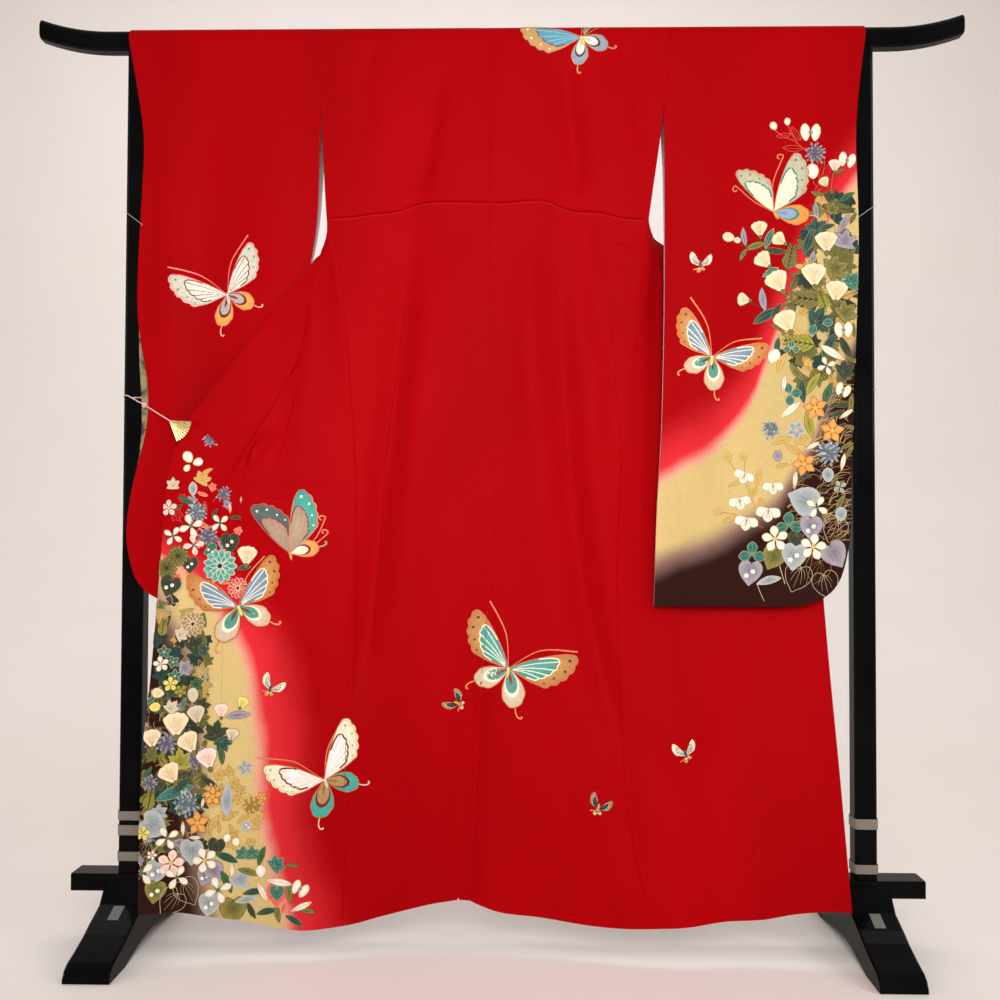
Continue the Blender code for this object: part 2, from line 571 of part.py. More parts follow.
def sleeve(cuff, inner, body_side, body_front_side):
    """A sleeve's grid: from the bottom of the back layer, over the bar, to the bottom of the front layer."""
    rows = np.array(ARMHOLE_ROWS + SLEEVE_ROWS)
    share = np.array(SLEEVE_SHARES)
    # The bottom is straight and rounds up towards the cuff edge
    reach = abs(cuff[-1]["x"] - inner[-1]["x"])
    away = share * reach
    round_up = np.maximum(0, CORNER_ROUND - away)
    bottom = SLEEVE_BOTTOM + CORNER_ROUND - np.sqrt(CORNER_ROUND**2 - round_up**2)
    top = ARCH_CENTRE
    layers = []
    for layer in ("back", "front"):
        y_name = "y" if layer == "back" else "front_y"
        x_name = "x" if layer == "back" else "front_x"
        outer = np.stack([column(cuff, name, rows) for name in (x_name, y_name, "z")], axis=-1)
        inside = np.stack([column(inner, name, rows) for name in ("x", y_name, "z")], axis=-1)
        sewn = rows <= ARMHOLE_ROWS[-1]
        inside[sewn] = edge(body_side if layer == "back" else body_front_side, rows[sewn])
        grid = between(outer, inside, share)
        hang = ramp(rows, -0.5, 1.0)[:, None]
        share_down = np.clip((top - grid[:, :, 2]) / (top - grid[-1:, :, 2]), 0, 1)
        level = top - share_down * (top - bottom)[None]
        grid[:, :, 2] = grid[:, :, 2] * (1 - hang) + level * hang
        x, z = grid[..., 0], grid[..., 2]
        sides = np.sin(np.pi * share)[None]
        held = ramp(rows, -1.0, -0.7)[:, None] * (1 - ramp(rows, 0.86, 1.0))[:, None]
        fold = fold_depth(SLEEVE_FOLDS, x, z) * held * np.minimum(1, 2 * sides)
        grid[:, :, 1] -= fold
        layers.append(grid)
    back, front = layers
    by_height = ramp(rows, -0.9, 0.1) * (1 - ramp(rows, 0.75, 1.0))
    apart = np.sin(np.pi * share)[None] * by_height[:, None]
    front[:, :, 1] += 0.004 * apart
    over = []
    for step in range(1, ARCH_STEPS):
        turn = math.pi * step / ARCH_STEPS
        row = back[0].copy()
        row[:, 1] = -ARCH_RADIUS * math.cos(turn)
        row[:, 2] = ARCH_CENTRE + ARCH_RADIUS * math.sin(turn)
        over.append(row)
    return np.concatenate([back[::-1], np.array(over), front])


def quads_of(grid, turned):
    """(points, faces) of a grid, its faces turned round where its outer side would face in."""
    rows, columns = grid.shape[:2]
    n = np.arange(rows * columns).reshape(rows, columns)
    faces = np.stack([n[:-1, :-1], n[:-1, 1:], n[1:, 1:], n[1:, :-1]], axis=-1).reshape(-1, 4)
    return grid.reshape(-1, 3), faces[:, ::-1] if turned else faces


def joined(blocks, turned):
    """Grids that share points, as one list of points and faces."""
    points, faces, start = [], [], 0
    for grid in blocks:
        p, f = quads_of(grid, turned)
        points.append(p)
        faces.append(f + start)
        start += len(p)
    points = np.concatenate(points)
    faces = np.concatenate(faces)
    _, first, index = np.unique(np.round(points, 6), axis=0, return_index=True, return_inverse=True)
    return points[first], index.reshape(-1)[faces]


def shared_normals(panels):
    """The outward direction at each point, the same for all panels that meet there."""
    total = {}
    for points, faces in panels.values():
        corners = points[faces]
        facing = np.cross(corners[:, 2] - corners[:, 0], corners[:, 3] - corners[:, 1])
        for face, normal in zip(faces, facing):
            for n in face:
                key = tuple(np.round(points[n], 5))
                total[key] = total.get(key, 0) + normal
    found = {}
    for name, (points, _) in panels.items():
        normals = np.array([total[tuple(np.round(p, 5))] for p in points])
        found[name] = normals / np.linalg.norm(normals, axis=1)[:, None]
    return found


def walled(points, faces, normals):
    """A closed wall round the sheet, its edges drawn in by half the gap of a seam."""
    pairs = {}
    for face in faces:
        for a, b in zip(face, np.roll(face, -1)):
            pairs[(a, b)] = pairs.get((a, b), 0) + 1
    rim = [(a, b) for a, b in pairs if (b, a) not in pairs]
    inward = np.zeros_like(points)
    for a, b in rim:
        along = points[b] - points[a]
        for n in (a, b):
            side = np.cross(normals[n], along)
            inward[n] += side / np.linalg.norm(side)
    length = np.linalg.norm(inward, axis=1)
    moving = length > 0
    sheet = points
    points = sheet.copy()
    points[moving] += inward[moving] / length[moving][:, None] * SEAM_GAP / 2
    outer = points + normals * WALL / 2
    inner = points - normals * WALL / 2
    count = len(points)
    all_faces = []
    for a, b, c, d in faces:
        # Both sides of the wall split each face along the diagonal that stands further out
        outward = normals[a] + normals[b] + normals[c] + normals[d]
        if np.dot(points[b] + points[d] - points[a] - points[c], outward) > 0:
            a, b, c, d = b, c, d, a
        all_faces += [[a, b, c, d], [a + count, d + count, c + count, b + count]]
    # Two panels that meet split the faces of their seam the same way
    for a, b in rim:
        first = tuple(np.round(sheet[a], 5)) < tuple(np.round(sheet[b], 5))
        all_faces.append([b, a, a + count, b + count] if first else [a, a + count, b + count, b])
    return np.concatenate([outer, inner]), all_faces


def material(name, colour, roughness, metallic=0.0):
    mat = bpy.data.materials.new(name)
    mat.use_nodes = True
    shader = mat.node_tree.nodes["Principled BSDF"]
    shader.inputs["Base Color"].default_value = (*colour, 1)
    shader.inputs["Roughness"].default_value = roughness
    shader.inputs["Metallic"].default_value = metallic
    return mat


def add_object(name, mesh, mat):
    obj = bpy.data.objects.new(name, mesh)
    bpy.context.scene.collection.objects.link(obj)
    mesh.materials.append(mat)
    return obj


def add_mesh(name, points, faces, mat, smooth_angle=None):
    mesh = bpy.data.meshes.new(name)
    mesh.from_pydata([tuple(p) for p in points], [], faces)
    mesh.update()
    if smooth_angle is not None:
        mesh.shade_smooth()
        mesh.set_sharp_from_angle(angle=math.radians(smooth_angle))
    return add_object(name, mesh, mat)


def rounded_box(name, size, place, radius, mat, segments=2):
    """A box with rounded long edges, standing with the centre of its base at place."""
    mesh = bpy.data.meshes.new(name)
    bm = bmesh.new()
    bmesh.ops.create_cube(bm, size=1.0, matrix=Matrix.Diagonal((*size, 1)))
    longest = max(range(3), key=lambda axis: size[axis])
    along = [e for e in bm.edges if abs((e.verts[0].co - e.verts[1].co)[longest]) > size[longest] / 2]
    bmesh.ops.bevel(bm, geom=along, offset=radius, segments=segments, profile=0.5, affect="EDGES")
    bm.to_mesh(mesh)
    bm.free()
    mesh.shade_smooth()
    mesh.set_sharp_from_angle(angle=math.radians(40))
    obj = add_object(name, mesh, mat)
    obj.location = Vector(place) + Vector((0, 0, size[2] / 2))
    return obj


def add_bar(mat):
    """The top bar: round above, its two ends sweeping up."""
    corner_steps = 5
    radius = BAR_DEPTH / 2
    low = 0.008
    section = []
    for n in range(corner_steps * 2 + 1):
        turn = math.pi * n / (corner_steps * 2)
        section.append((radius * math.cos(turn), BAR_HEIGHT / 2 - radius + radius * math.sin(turn)))
    for sign, start in ((-1, math.pi), (1, 1.5 * math.pi)):
        for n in range(3):
            turn = start + math.pi / 2 * n / 2
            centre = sign * (radius - low)
            section.append((centre + low * math.cos(turn), low - BAR_HEIGHT / 2 + low * math.sin(turn)))
    ends = [BAR_TIP_START + (BAR_HALF_LENGTH - BAR_TIP_START) * n / 6 for n in range(7)]
    stations = [-x for x in reversed(ends)] + ends
    points = []
    for x in stations:
        share = max(0.0, (abs(x) - BAR_TIP_START) / (BAR_HALF_LENGTH - BAR_TIP_START))
        rise = BAR_TIP_RISE * share**2
        thin = 1 - 0.04 * share
        for y, z in section:
            points.append((x, y * thin, BAR_TOP - BAR_HEIGHT / 2 + rise + z * thin))
    count = len(section)
    faces = [list(range(count))[::-1]]
    for row in range(len(stations) - 1):
        for n in range(count):
            m = (n + 1) % count
            a, b = row * count, (row + 1) * count
            faces.append([a + n, a + m, b + m, b + n])
    faces.append([n + (len(stations) - 1) * count for n in range(count)])
    # Sections run anticlockwise seen from +X, so the sides above face out
    add_mesh("stand_bar", points, faces, mat, smooth_angle=35)


# The foot's outline from the side, front half: y is negative towards the front
FOOT_OUTLINE = table(
    "y z",
    (-0.0268, 0.1140),
    (-0.0300, 0.1120),
    (-0.0400, 0.0950),
    (-0.0560, 0.0770),
    (-0.0980, 0.0610),
    (-0.1250, 0.0490),
    (-0.1610, 0.0370),
    (-0.1930, 0.0280),
    (-0.2050, 0.0210),
    (-0.2110, 0.0120),
    (-0.2110, 0.0000),
)
FOOT_UNDERSIDE = table("y z", (-0.1400, 0.0), (-0.1000, 0.008), (-0.0500, 0.017), (0.0, 0.020))
PLATE_FACET = 3


def add_foot(name, x, mat):
    """A foot: an arched block with a notch across its top where the board lies."""
    notch = BOARD_TOP - BOARD_HEIGHT - FIT_GAP
    front = [(row["y"], row["z"]) for row in FOOT_OUTLINE]
    under = [(row["y"], row["z"]) for row in FOOT_UNDERSIDE]
    outline = front + under + [(-y, z) for y, z in reversed(front + under[:-1])]
    outline += [(-front[0][0], notch), (front[0][0], notch)]
    half = FOOT_WIDTH / 2
    mesh = bpy.data.meshes.new(name)
    bm = bmesh.new()
    loop = [bm.verts.new((-half, y, z)) for y, z in outline]
    face = bm.faces.new(loop)
    out = bmesh.ops.extrude_face_region(bm, geom=[face])
    moved = [v for v in out["geom"] if isinstance(v, bmesh.types.BMVert)]
    bmesh.ops.translate(bm, verts=moved, vec=(FOOT_WIDTH, 0, 0))
    bmesh.ops.recalc_face_normals(bm, faces=bm.faces)
    rims = [e for e in bm.edges if abs(e.verts[0].co.x - e.verts[1].co.x) < 1e-6]
    upper = []
    for rim in rims:
        height = min(v.co.z for v in rim.verts)
        reaches = [abs(v.co.y) for v in rim.verts]
        if height > 0.055 and min(reaches) > 0.0265 or height > 0.011 and max(reaches) > 0.11:
            upper.append(rim)
    bmesh.ops.bevel(bm, geom=upper, offset=0.003, segments=1, affect="EDGES")
    bm.to_mesh(mesh)
    bm.free()
    obj = add_object(name, mesh, mat)
    obj.location = (x, 0, 0)
    return obj


def add_band(name, x, low, high, mat):
    """A thin band round a post."""
    inner = POST_SIDE / 2 + FIT_GAP
    outer = inner + 0.0012
    corner = 0.006
    loops = []
    for half in (outer, inner):
        for z in (low, high):
            loop = []
            for quarter in range(4):
                for n in range(3):
                    turn = math.pi / 2 * (quarter + n / 2)
                    centre_x = (half - corner) * (1 if quarter in (0, 3) else -1)
                    centre_y = (half - corner) * (1 if quarter in (0, 1) else -1)
                    place_x = x + centre_x + corner * math.cos(turn)
                    loop.append((place_x, centre_y + corner * math.sin(turn), z))
            loops.append(loop)
    count = len(loops[0])
    points = [p for loop in loops for p in loop]
    faces = []
    for n in range(count):
        m = (n + 1) % count
        faces.append([n, m, count + m, count + n])
        faces.append([2 * count + m, 2 * count + n, 3 * count + n, 3 * count + m])
        faces.append([count + n, count + m, 3 * count + m, 3 * count + n])
        faces.append([m, n, 2 * count + n, 2 * count + m])
    add_mesh(name, points, faces, mat, smooth_angle=35)


PLATE_SIZE = (0.019, 0.036, 0.0012)


def add_plate(name, x, mat):
    """A bare plate let flat onto the slope of a foot's top."""
    high, low = FOOT_OUTLINE[PLATE_FACET], FOOT_OUTLINE[PLATE_FACET + 1]
    slope = math.atan2(high["z"] - low["z"], high["y"] - low["y"])
    mesh = bpy.data.meshes.new(name)
    bm = bmesh.new()
    bmesh.ops.create_cube(bm, size=1.0, matrix=Matrix.Diagonal((*PLATE_SIZE, 1)))
    bm.to_mesh(mesh)
    bm.free()
    obj = add_object(name, mesh, mat)
    middle_y = (high["y"] + low["y"]) / 2
    middle_z = (high["z"] + low["z"]) / 2
    lift = PLATE_SIZE[2] / 2 + FIT_GAP
    obj.rotation_euler = (slope, 0, 0)
    obj.location = (x, middle_y - lift * math.sin(slope), middle_z + lift * math.cos(slope))
    return obj


def add_tube(name, path, radius, mat, cyclic=False):
    """A cord along a path."""
    curve = bpy.data.curves.new(name, "CURVE")
    curve.dimensions = "3D"
    curve.bevel_depth = radius
    curve.bevel_resolution = 2
    curve.use_fill_caps = not cyclic
    spline = curve.splines.new("POLY")
    spline.points.add(len(path) - 1)
    for point, place in zip(spline.points, path):
        point.co = (*place, 1)
    spline.use_cyclic_u = cyclic
    obj = bpy.data.objects.new(name, curve)
    bpy.context.scene.collection.objects.link(obj)
    curve.materials.append(mat)
    return obj


TIE_RADIUS = 0.0012
TIE_HEIGHT = 0.9885
TIE_DROP = 0.0042
KNOT_PLACE = (-0.6385, -0.0365, 0.9690)
KNOT_RADIUS = 0.0050
CLIP_APEX = (-0.5860, -0.0592, 0.9390)
CLIP_RADIUS = 0.040
CLIP_THICKNESS = 0.0020
CLIP_FIRST_ANGLE = -3
CLIP_SPREAD = 66
# Where the cord leaves the post's front corner for the knot
TIE_LEAVES = (-0.6720, -0.0295, 0.9870)


def add_tie_loop(mat):
    """A cord from the knot round the left post, its end lying under where it began."""
    half = POST_SIDE / 2 + TIE_RADIUS + FIT_GAP
    corner = 0.007
    knot = Vector(KNOT_PLACE)
    leaves = Vector(TIE_LEAVES)
    start = knot + (leaves - knot).normalized() * (KNOT_RADIUS + FIT_GAP)
    path = [start, start.lerp(leaves, 0.35), start.lerp(leaves, 0.7), leaves]
    turns = 16
    # Clockwise seen from above: the left side, the rear, the right side, the front
    for n in range(turns):
        quarter, part = divmod(n, 4)
        turn = 1.5 * math.pi - math.pi / 2 * (quarter + part / 3)
        sign_x = -1 if quarter in (0, 1) else 1
        sign_y = -1 if quarter in (0, 3) else 1
        x = sign_x * (half - corner) + corner * math.cos(turn)
        y = sign_y * (half - corner) + corner * math.sin(turn)
        path.append(Vector((x - POST_X, y, TIE_HEIGHT - TIE_DROP * n / turns)))
    path.append(Vector((-POST_X - 0.004, -half, TIE_HEIGHT - TIE_DROP)))
    add_tube("tie_loop", [tuple(p) for p in path], TIE_RADIUS, mat)


def add_knot(mat):
    mesh = bpy.data.meshes.new("tie_knot")
    bm = bmesh.new()
    bmesh.ops.create_icosphere(bm, subdivisions=2, radius=KNOT_RADIUS)
    for vert in bm.verts:
        vert.co.z *= 1.15
    bm.to_mesh(mesh)
    bm.free()
    mesh.shade_smooth()
    obj = add_object("tie_knot", mesh, mat)
    obj.location = KNOT_PLACE
    return obj


def add_tie_cord(mat):
    """The taut cord from the knot to the clip."""
    start = Vector(KNOT_PLACE)
    end = Vector(CLIP_APEX)
    way = (end - start).normalized()
    start += way * (KNOT_RADIUS + FIT_GAP)
    end += way * 0.0013
    path = [tuple(start.lerp(end, n / 6)) for n in range(7)]
    add_tube("tie_cord", path, TIE_RADIUS, mat)


def add_clip(mat):
    """A folded-fan clip that holds the corner of the collar."""
    ribs = 9
    low = CLIP_APEX[1] - CLIP_THICKNESS / 2
    points = []
    for y_side in (0, 1):
        for ring, radius in enumerate((0.002, CLIP_RADIUS * 0.5, CLIP_RADIUS)):
            for n in range(ribs * 2 + 1):
                turn = math.radians(CLIP_FIRST_ANGLE - CLIP_SPREAD * n / (ribs * 2))
                pleat = 0.0007 * (n % 2) * ring / 2
                y = low + y_side * CLIP_THICKNESS + pleat
                reach_x = radius * math.cos(turn)
                points.append((CLIP_APEX[0] + reach_x, y, CLIP_APEX[2] + radius * math.sin(turn)))
    count = ribs * 2 + 1
    block = 3 * count
    faces = []
    for ring in range(2):
        for n in range(count - 1):
            a = ring * count + n
            quad = [a, a + count, a + count + 1, a + 1]
            faces.append(quad)
            faces.append([v + block for v in reversed(quad)])
    rim = list(range(count)) + [2 * count - 1] + list(range(3 * count - 1, 2 * count - 1, -1)) + [count]
    for a, b in zip(rim, rim[1:] + rim[:1]):
        faces.append([a, b, b + block, a + block])
    obj = add_mesh("clip_fan", points, faces, mat)
    bm = bmesh.new()
    bm.from_mesh(obj.data)
    bmesh.ops.recalc_face_normals(bm, faces=bm.faces)
    bm.to_mesh(obj.data)
    bm.free()


def add_stand():
    lacquer = material("black_lacquer", (0.006, 0.006, 0.007), 0.12)
    tape = material("band_tape", (0.16, 0.14, 0.12), 0.7)
    plate = material("plate_grey", (0.15, 0.15, 0.14), 0.55)
    add_bar(lacquer)
    post_bottom = BOARD_TOP + FIT_GAP
    post_top = BAR_TOP - BAR_HEIGHT - FIT_GAP
    feet = {"left": -POST_X, "right": POST_X}
    for side, x in feet.items():
        size = (POST_SIDE, POST_SIDE, post_top - post_bottom)
        rounded_box("post_" + side, size, (x, 0, post_bottom), 0.006, lacquer)
        add_foot("foot_" + side, x, lacquer)
        add_plate("plate_" + side, x, plate)
    size = (2 * BOARD_HALF_LENGTH, BOARD_DEPTH, BOARD_HEIGHT)
    rounded_box("stand_board", size, (0, 0, BOARD_TOP - BOARD_HEIGHT), 0.002, lacquer, segments=1)
    bands = table(
        "side low high",
        ("left", 0.144, 0.160),
        ("left", 0.190, 0.208),
        ("left", 0.217, 0.233),
        ("right", 0.133, 0.149),
        ("right", 0.212, 0.230),
    )
    for n, band in enumerate(bands):
        add_band(f"band_{band['side']}_{n + 1}", feet[band["side"]], band["low"], band["high"], tape)


def add_garment():
    crepe = material("red_crepe", (0.50, 0.0, 0.006), 0.55)
    left_back, left_front = body_half(LEFT_SIDE, LEFT_FRONT_SIDE, LEFT_INNER, FRONT_BOW)
    right_back, right_front = body_half(RIGHT_SIDE, RIGHT_FRONT_SIDE, RIGHT_INNER, -FRONT_BOW)
    left_front = over_to_front(left_back, left_front, LEFT_FRONT_SIDE)
    right_front = over_to_front(right_back, right_front, RIGHT_FRONT_SIDE)
    left_okumi = okumi(LEFT_INNER, LEFT_EDGE, LEFT_COLLAR_CORNER, left_front)
    right_okumi = okumi(RIGHT_INNER, RIGHT_EDGE, RIGHT_COLLAR_CORNER, right_front)
    left_collar = collar_half(left_okumi, left_front, left_back, LEFT_COLLAR_EDGE)
    right_collar = collar_half(right_okumi, right_front, right_back, RIGHT_COLLAR_EDGE)
    panels = {
        "body_left": joined([left_back, left_front], False),
        "body_right": joined([right_back, right_front], True),
        "okumi_left": joined([left_okumi], False),
        "okumi_right": joined([right_okumi], True),
        "collar": joined([collar(left_collar, right_collar)], True),
        "sleeve_left": joined([sleeve(LEFT_CUFF, LEFT_SLEEVE_INNER, LEFT_SIDE, LEFT_FRONT_SIDE)], False),
        "sleeve_right": joined([sleeve(RIGHT_CUFF, RIGHT_SLEEVE_INNER, RIGHT_SIDE, RIGHT_FRONT_SIDE)], True),
    }
    normals = shared_normals(panels)
    for name, (points, faces) in panels.items():
        wall_points, wall_faces = walled(points, faces, normals[name])
        add_mesh(name, wall_points, wall_faces, crepe, smooth_angle=60)


def add_tie():
    cord = material("pink_cord", (0.75, 0.25, 0.28), 0.7)
    gold = material("gold_clip", (0.72, 0.56, 0.22), 0.35, 0.6)
    add_tie_loop(cord)
    add_knot(cord)
    add_tie_cord(cord)
    add_clip(gold)


def main():
    for obj in list(bpy.data.objects):
        bpy.data.objects.remove(obj, do_unlink=True)
    add_stand()
    add_garment()
    add_tie()


main()
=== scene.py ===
# %% [markdown]
# # A furisode on its stand
# A furisode is a kimono with very long sleeves. Here it hangs from a lacquered stand with its
# back to the viewer, so that the dyed design shows as one picture. The solid frame is loaded
# first: it gives every piece its place, and this lesson dresses it, one piece at a time.

# %% The frame
import math
import random

import bmesh
import bpy
import numpy as np
from mathutils import Matrix, Vector
from mathutils.bvhtree import BVHTree


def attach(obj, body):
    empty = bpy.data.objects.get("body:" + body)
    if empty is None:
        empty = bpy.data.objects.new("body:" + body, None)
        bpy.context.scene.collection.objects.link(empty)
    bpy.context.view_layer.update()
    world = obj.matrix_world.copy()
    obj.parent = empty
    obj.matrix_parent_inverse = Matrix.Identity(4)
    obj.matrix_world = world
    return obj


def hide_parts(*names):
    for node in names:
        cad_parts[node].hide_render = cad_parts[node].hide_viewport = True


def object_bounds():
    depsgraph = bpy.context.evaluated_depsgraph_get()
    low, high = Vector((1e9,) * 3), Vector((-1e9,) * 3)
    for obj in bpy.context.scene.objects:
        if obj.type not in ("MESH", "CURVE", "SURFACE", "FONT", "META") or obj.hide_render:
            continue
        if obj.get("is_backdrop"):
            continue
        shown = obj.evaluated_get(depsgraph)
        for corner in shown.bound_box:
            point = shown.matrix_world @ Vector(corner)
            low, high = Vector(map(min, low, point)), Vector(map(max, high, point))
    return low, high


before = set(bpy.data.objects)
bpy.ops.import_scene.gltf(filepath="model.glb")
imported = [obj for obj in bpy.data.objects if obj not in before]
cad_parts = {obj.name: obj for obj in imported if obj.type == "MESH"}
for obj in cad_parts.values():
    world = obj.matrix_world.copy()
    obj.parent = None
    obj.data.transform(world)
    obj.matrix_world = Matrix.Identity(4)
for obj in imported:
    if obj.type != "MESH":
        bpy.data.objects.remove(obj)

for name in ("Cube", "Light", "Camera"):
    if name in bpy.data.objects:
        bpy.data.objects.remove(bpy.data.objects[name])
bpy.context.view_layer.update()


def linked(name, data):
    """A new object in the scene."""
    thing = bpy.data.objects.new(name, data)
    bpy.context.scene.collection.objects.link(thing)
    return thing


def only_active(thing):
    """Deselect all else, so that the next operator works on this object alone."""
    bpy.ops.object.select_all(action="DESELECT")
    thing.select_set(True)
    bpy.context.view_layer.objects.active = thing


# %% [markdown]
# The camera stands two metres from the garment, a little below its middle, and looks very
# slightly up. A short lens at that distance gives the feet the strong slant that the eye
# expects of a stand seen from close by. It is made first because the light is set for it.

# %% Camera
CAMERA_PLACE = (0.0474, -2.0129, 0.7412)
CAMERA_TURNS = ((1.173, "Z"), (91.493, "X"), (0.200, "Z"))
camera_data = bpy.data.cameras.new("Camera")
camera = linked("Camera", camera_data)
view = Matrix.Translation(CAMERA_PLACE)
for degrees, axis in CAMERA_TURNS:
    view = view @ Matrix.Rotation(math.radians(degrees), 4, axis)
camera.matrix_world = view
camera_data.lens = 39.6
camera_data.sensor_width = 36
camera_data.shift_y = 0.00325
bpy.context.scene.view_settings.view_transform = "Standard"
bpy.context.scene.camera = camera
print("camera at", [round(v, 3) for v in camera.matrix_world.translation])

# %% [markdown]
# A studio for cloth is all soft light: one wide lamp in front, one on each side, one on the paper
# behind, and a pale room. A harder lamp would draw every fold too strongly, and lacquer would show
# it as a hot spot. The room's own light is kept low, because black lacquer shows it as grey.

# %% Studio light
def soft_lamp(name, place, aim, width, height, watts, spread=180):
    """A rectangular lamp that faces a point."""
    data = bpy.data.lights.new(name, "AREA")
    data.shape = "RECTANGLE"
    data.size, data.size_y = width, height
    data.energy = watts
    data.spread = math.radians(spread)
    lamp = linked(name, data)
    lamp.location = place
    lamp.rotation_euler = (Vector(aim) - Vector(place)).to_track_quat("-Z", "Y").to_euler()


soft_lamp("lamp_key", (0.1, -2.5, 1.5), (0.02, 0, 0.94), 1.4, 1.0, 14.4, 90)
soft_lamp("lamp_right", (3.0, -1.6, 1.9), (0, 0, 0.95), 0.8, 1.6, 24)
soft_lamp("lamp_left", (-3.0, -1.6, 1.6), (0, 0, 0.9), 1.0, 1.8, 13)
soft_lamp("lamp_back", (-0.3, 1.4, 3.3), (-0.1, 3.6, 1.0), 4.8, 1.8, 41)

room = bpy.data.worlds.new("Room")
bpy.context.scene.world = room
room.use_nodes = True
air = room.node_tree.nodes["Background"].inputs
air["Color"].default_value = (0.80, 0.77, 0.75, 1)
air["Strength"].default_value = 0.61


# %% [markdown]
# Every finish here is a Principled shader with a few nodes round it: a noise on the piece's own
# coordinates, a colour ramp that turns noise into two tones, and a bump. Writing them once as the
# methods of a finish keeps each material short enough to read at a glance.

# %% Finish helpers
class Finish:
    """A Principled material; each method adds a node and gives back the socket that leaves it."""

    def __init__(self, name, colour, roughness, metallic=0.0, **sockets):
        self.material = bpy.data.materials.new(name)
        self.material.use_nodes = True
        self.tree = self.material.node_tree
        self.inputs = self.tree.nodes["Principled BSDF"].inputs
        self.feed(self.inputs["Base Color"], colour)
        self.feed(self.inputs["Roughness"], roughness)
        self.feed(self.inputs["Metallic"], metallic)
        for socket, value in sockets.items():
            self.feed(self.inputs[socket.replace("_", " ")], value)

    def feed(self, socket, value):
        """Join a socket to another that leaves a node, or give it a plain value."""
        if isinstance(value, bpy.types.NodeSocket):
            self.tree.links.new(value, socket)
        else:
            socket.default_value = (*value, 1) if socket.type == "RGBA" else value

    def node(self, kind, feeds, **settings):
        """A new node of a kind, with what feeds its sockets and how it is set."""
        node = self.tree.nodes.new("ShaderNode" + kind)
        for setting, value in settings.items():
            setattr(node, setting, value)
        for socket, value in feeds.items():
            self.feed(node.inputs[socket], value)
        return node

    def place(self):
        return self.node("TexCoord", {}).outputs["Object"]

    def noise(self, scale, detail=3.0, stretch=(1, 1, 1)):
        """A noise on the piece's own coordinates."""
        mapped = self.node("Mapping", {"Vector": self.place(), "Scale": stretch}).outputs["Vector"]
        feeds = {"Vector": mapped, "Scale": scale, "Detail": detail}
        return self.node("TexNoise", feeds).outputs["Fac"]

    def ramp(self, source, low, high, start=0.3, end=0.7):
        """Two tones, and the run between them."""
        ramp = self.node("ValToRGB", {"Fac": source})
        for n, (position, colour) in enumerate(((start, low), (end, high))):
            ramp.color_ramp.elements[n].position = position
            ramp.color_ramp.elements[n].color = (*colour, 1)
        return ramp.outputs["Color"]

    def bump(self, height, strength, distance):
        feeds = {"Strength": strength, "Distance": distance, "Height": height}
        self.feed(self.inputs["Normal"], self.node("Bump", feeds).outputs["Normal"])

    def mix(self, factor, a, b, blend="MIX"):
        feeds = {0: factor, 6: a, 7: b}
        return self.node("Mix", feeds, data_type="RGBA", blend_type=blend).outputs[2]

    def sums(self, operation, a, b):
        """A sum of two values, or another operation on them."""
        return self.node("Math", {0: a, 1: b}, operation=operation).outputs[0]

    def stretched(self, value, low, high, new_low, new_high, shape="LINEAR"):
        feeds = dict(enumerate((value, low, high, new_low, new_high)))
        return self.node("MapRange", feeds, interpolation_type=shape).outputs[0]

    def paint(self, colour):
        self.feed(self.inputs["Base Color"], colour)
        return self.material


def mottled(name, colour, roughness, scale, dark, light, detail=1.0, stretch=(1, 1, 1), bump=None,
            **sockets):
    """A finish of two tones in one noise; bump is the strength and height of its grain."""
    finish = Finish(name, colour, roughness, **sockets)
    grain = finish.noise(scale, detail, stretch)
    if bump:
        finish.bump(grain, *bump)
    return finish.paint(finish.ramp(grain, dark, light))


# %% [markdown]
# The backdrop is a roll of pale paper: flat under the stand, then curved up behind it, so that no
# line shows where the floor ends. It starts as a plane, and its far edge is extruded again and
# again along a quarter circle.

# %% Backdrop
FLOOR_HALF = (9, 4.25, 1)
FLOOR_PLACE = (0, -2.75, -0.0005)
CURVE_STEPS = 16
CURVE_RADIUS = 2.2
WALL_HEIGHT = 4
bpy.ops.object.select_all(action="DESELECT")
bpy.ops.mesh.primitive_plane_add(size=2, location=(0, 0, 0))
floor = bpy.context.object
floor.name = "floor"
floor.scale = FLOOR_HALF
floor.location = FLOOR_PLACE
bpy.ops.object.transform_apply(location=True, rotation=True, scale=True)
bpy.ops.object.mode_set(mode="EDIT")
bpy.ops.mesh.select_all(action="DESELECT")
bm = bmesh.from_edit_mesh(floor.data)
for edge in bm.edges:
    edge.select = all(v.co.y > 1.4 for v in edge.verts)
bmesh.update_edit_mesh(floor.data)
for step in range(CURVE_STEPS):
    a, b = (math.pi / 2 * n / CURVE_STEPS for n in (step, step + 1))
    rise = (0, CURVE_RADIUS * (math.sin(b) - math.sin(a)),
            CURVE_RADIUS * (math.cos(a) - math.cos(b)))
    bpy.ops.mesh.extrude_region_move(TRANSFORM_OT_translate={"value": rise})
bpy.ops.mesh.extrude_region_move(TRANSFORM_OT_translate={"value": (0, 0, WALL_HEIGHT)})
bpy.ops.object.mode_set(mode="OBJECT")
bpy.ops.object.shade_smooth()
floor.data.materials.append(mottled("floor_paper", (0.92, 0.85, 0.81), 0.6, 3.0,
                                    (0.91, 0.84, 0.80), (0.93, 0.862, 0.82), detail=2.0))
floor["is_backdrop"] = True
print("backdrop:", len(floor.data.polygons), "faces")

# %% [markdown]
# Black lacquer is a deep gloss: many thin coats, rubbed flat. Its colour is nearly black, so all
# that the eye reads is reflection. A thin clear coat over a rougher base gives both the sharp
# reflection and the soft bloom round it. A faint large noise keeps broad faces from looking cast.

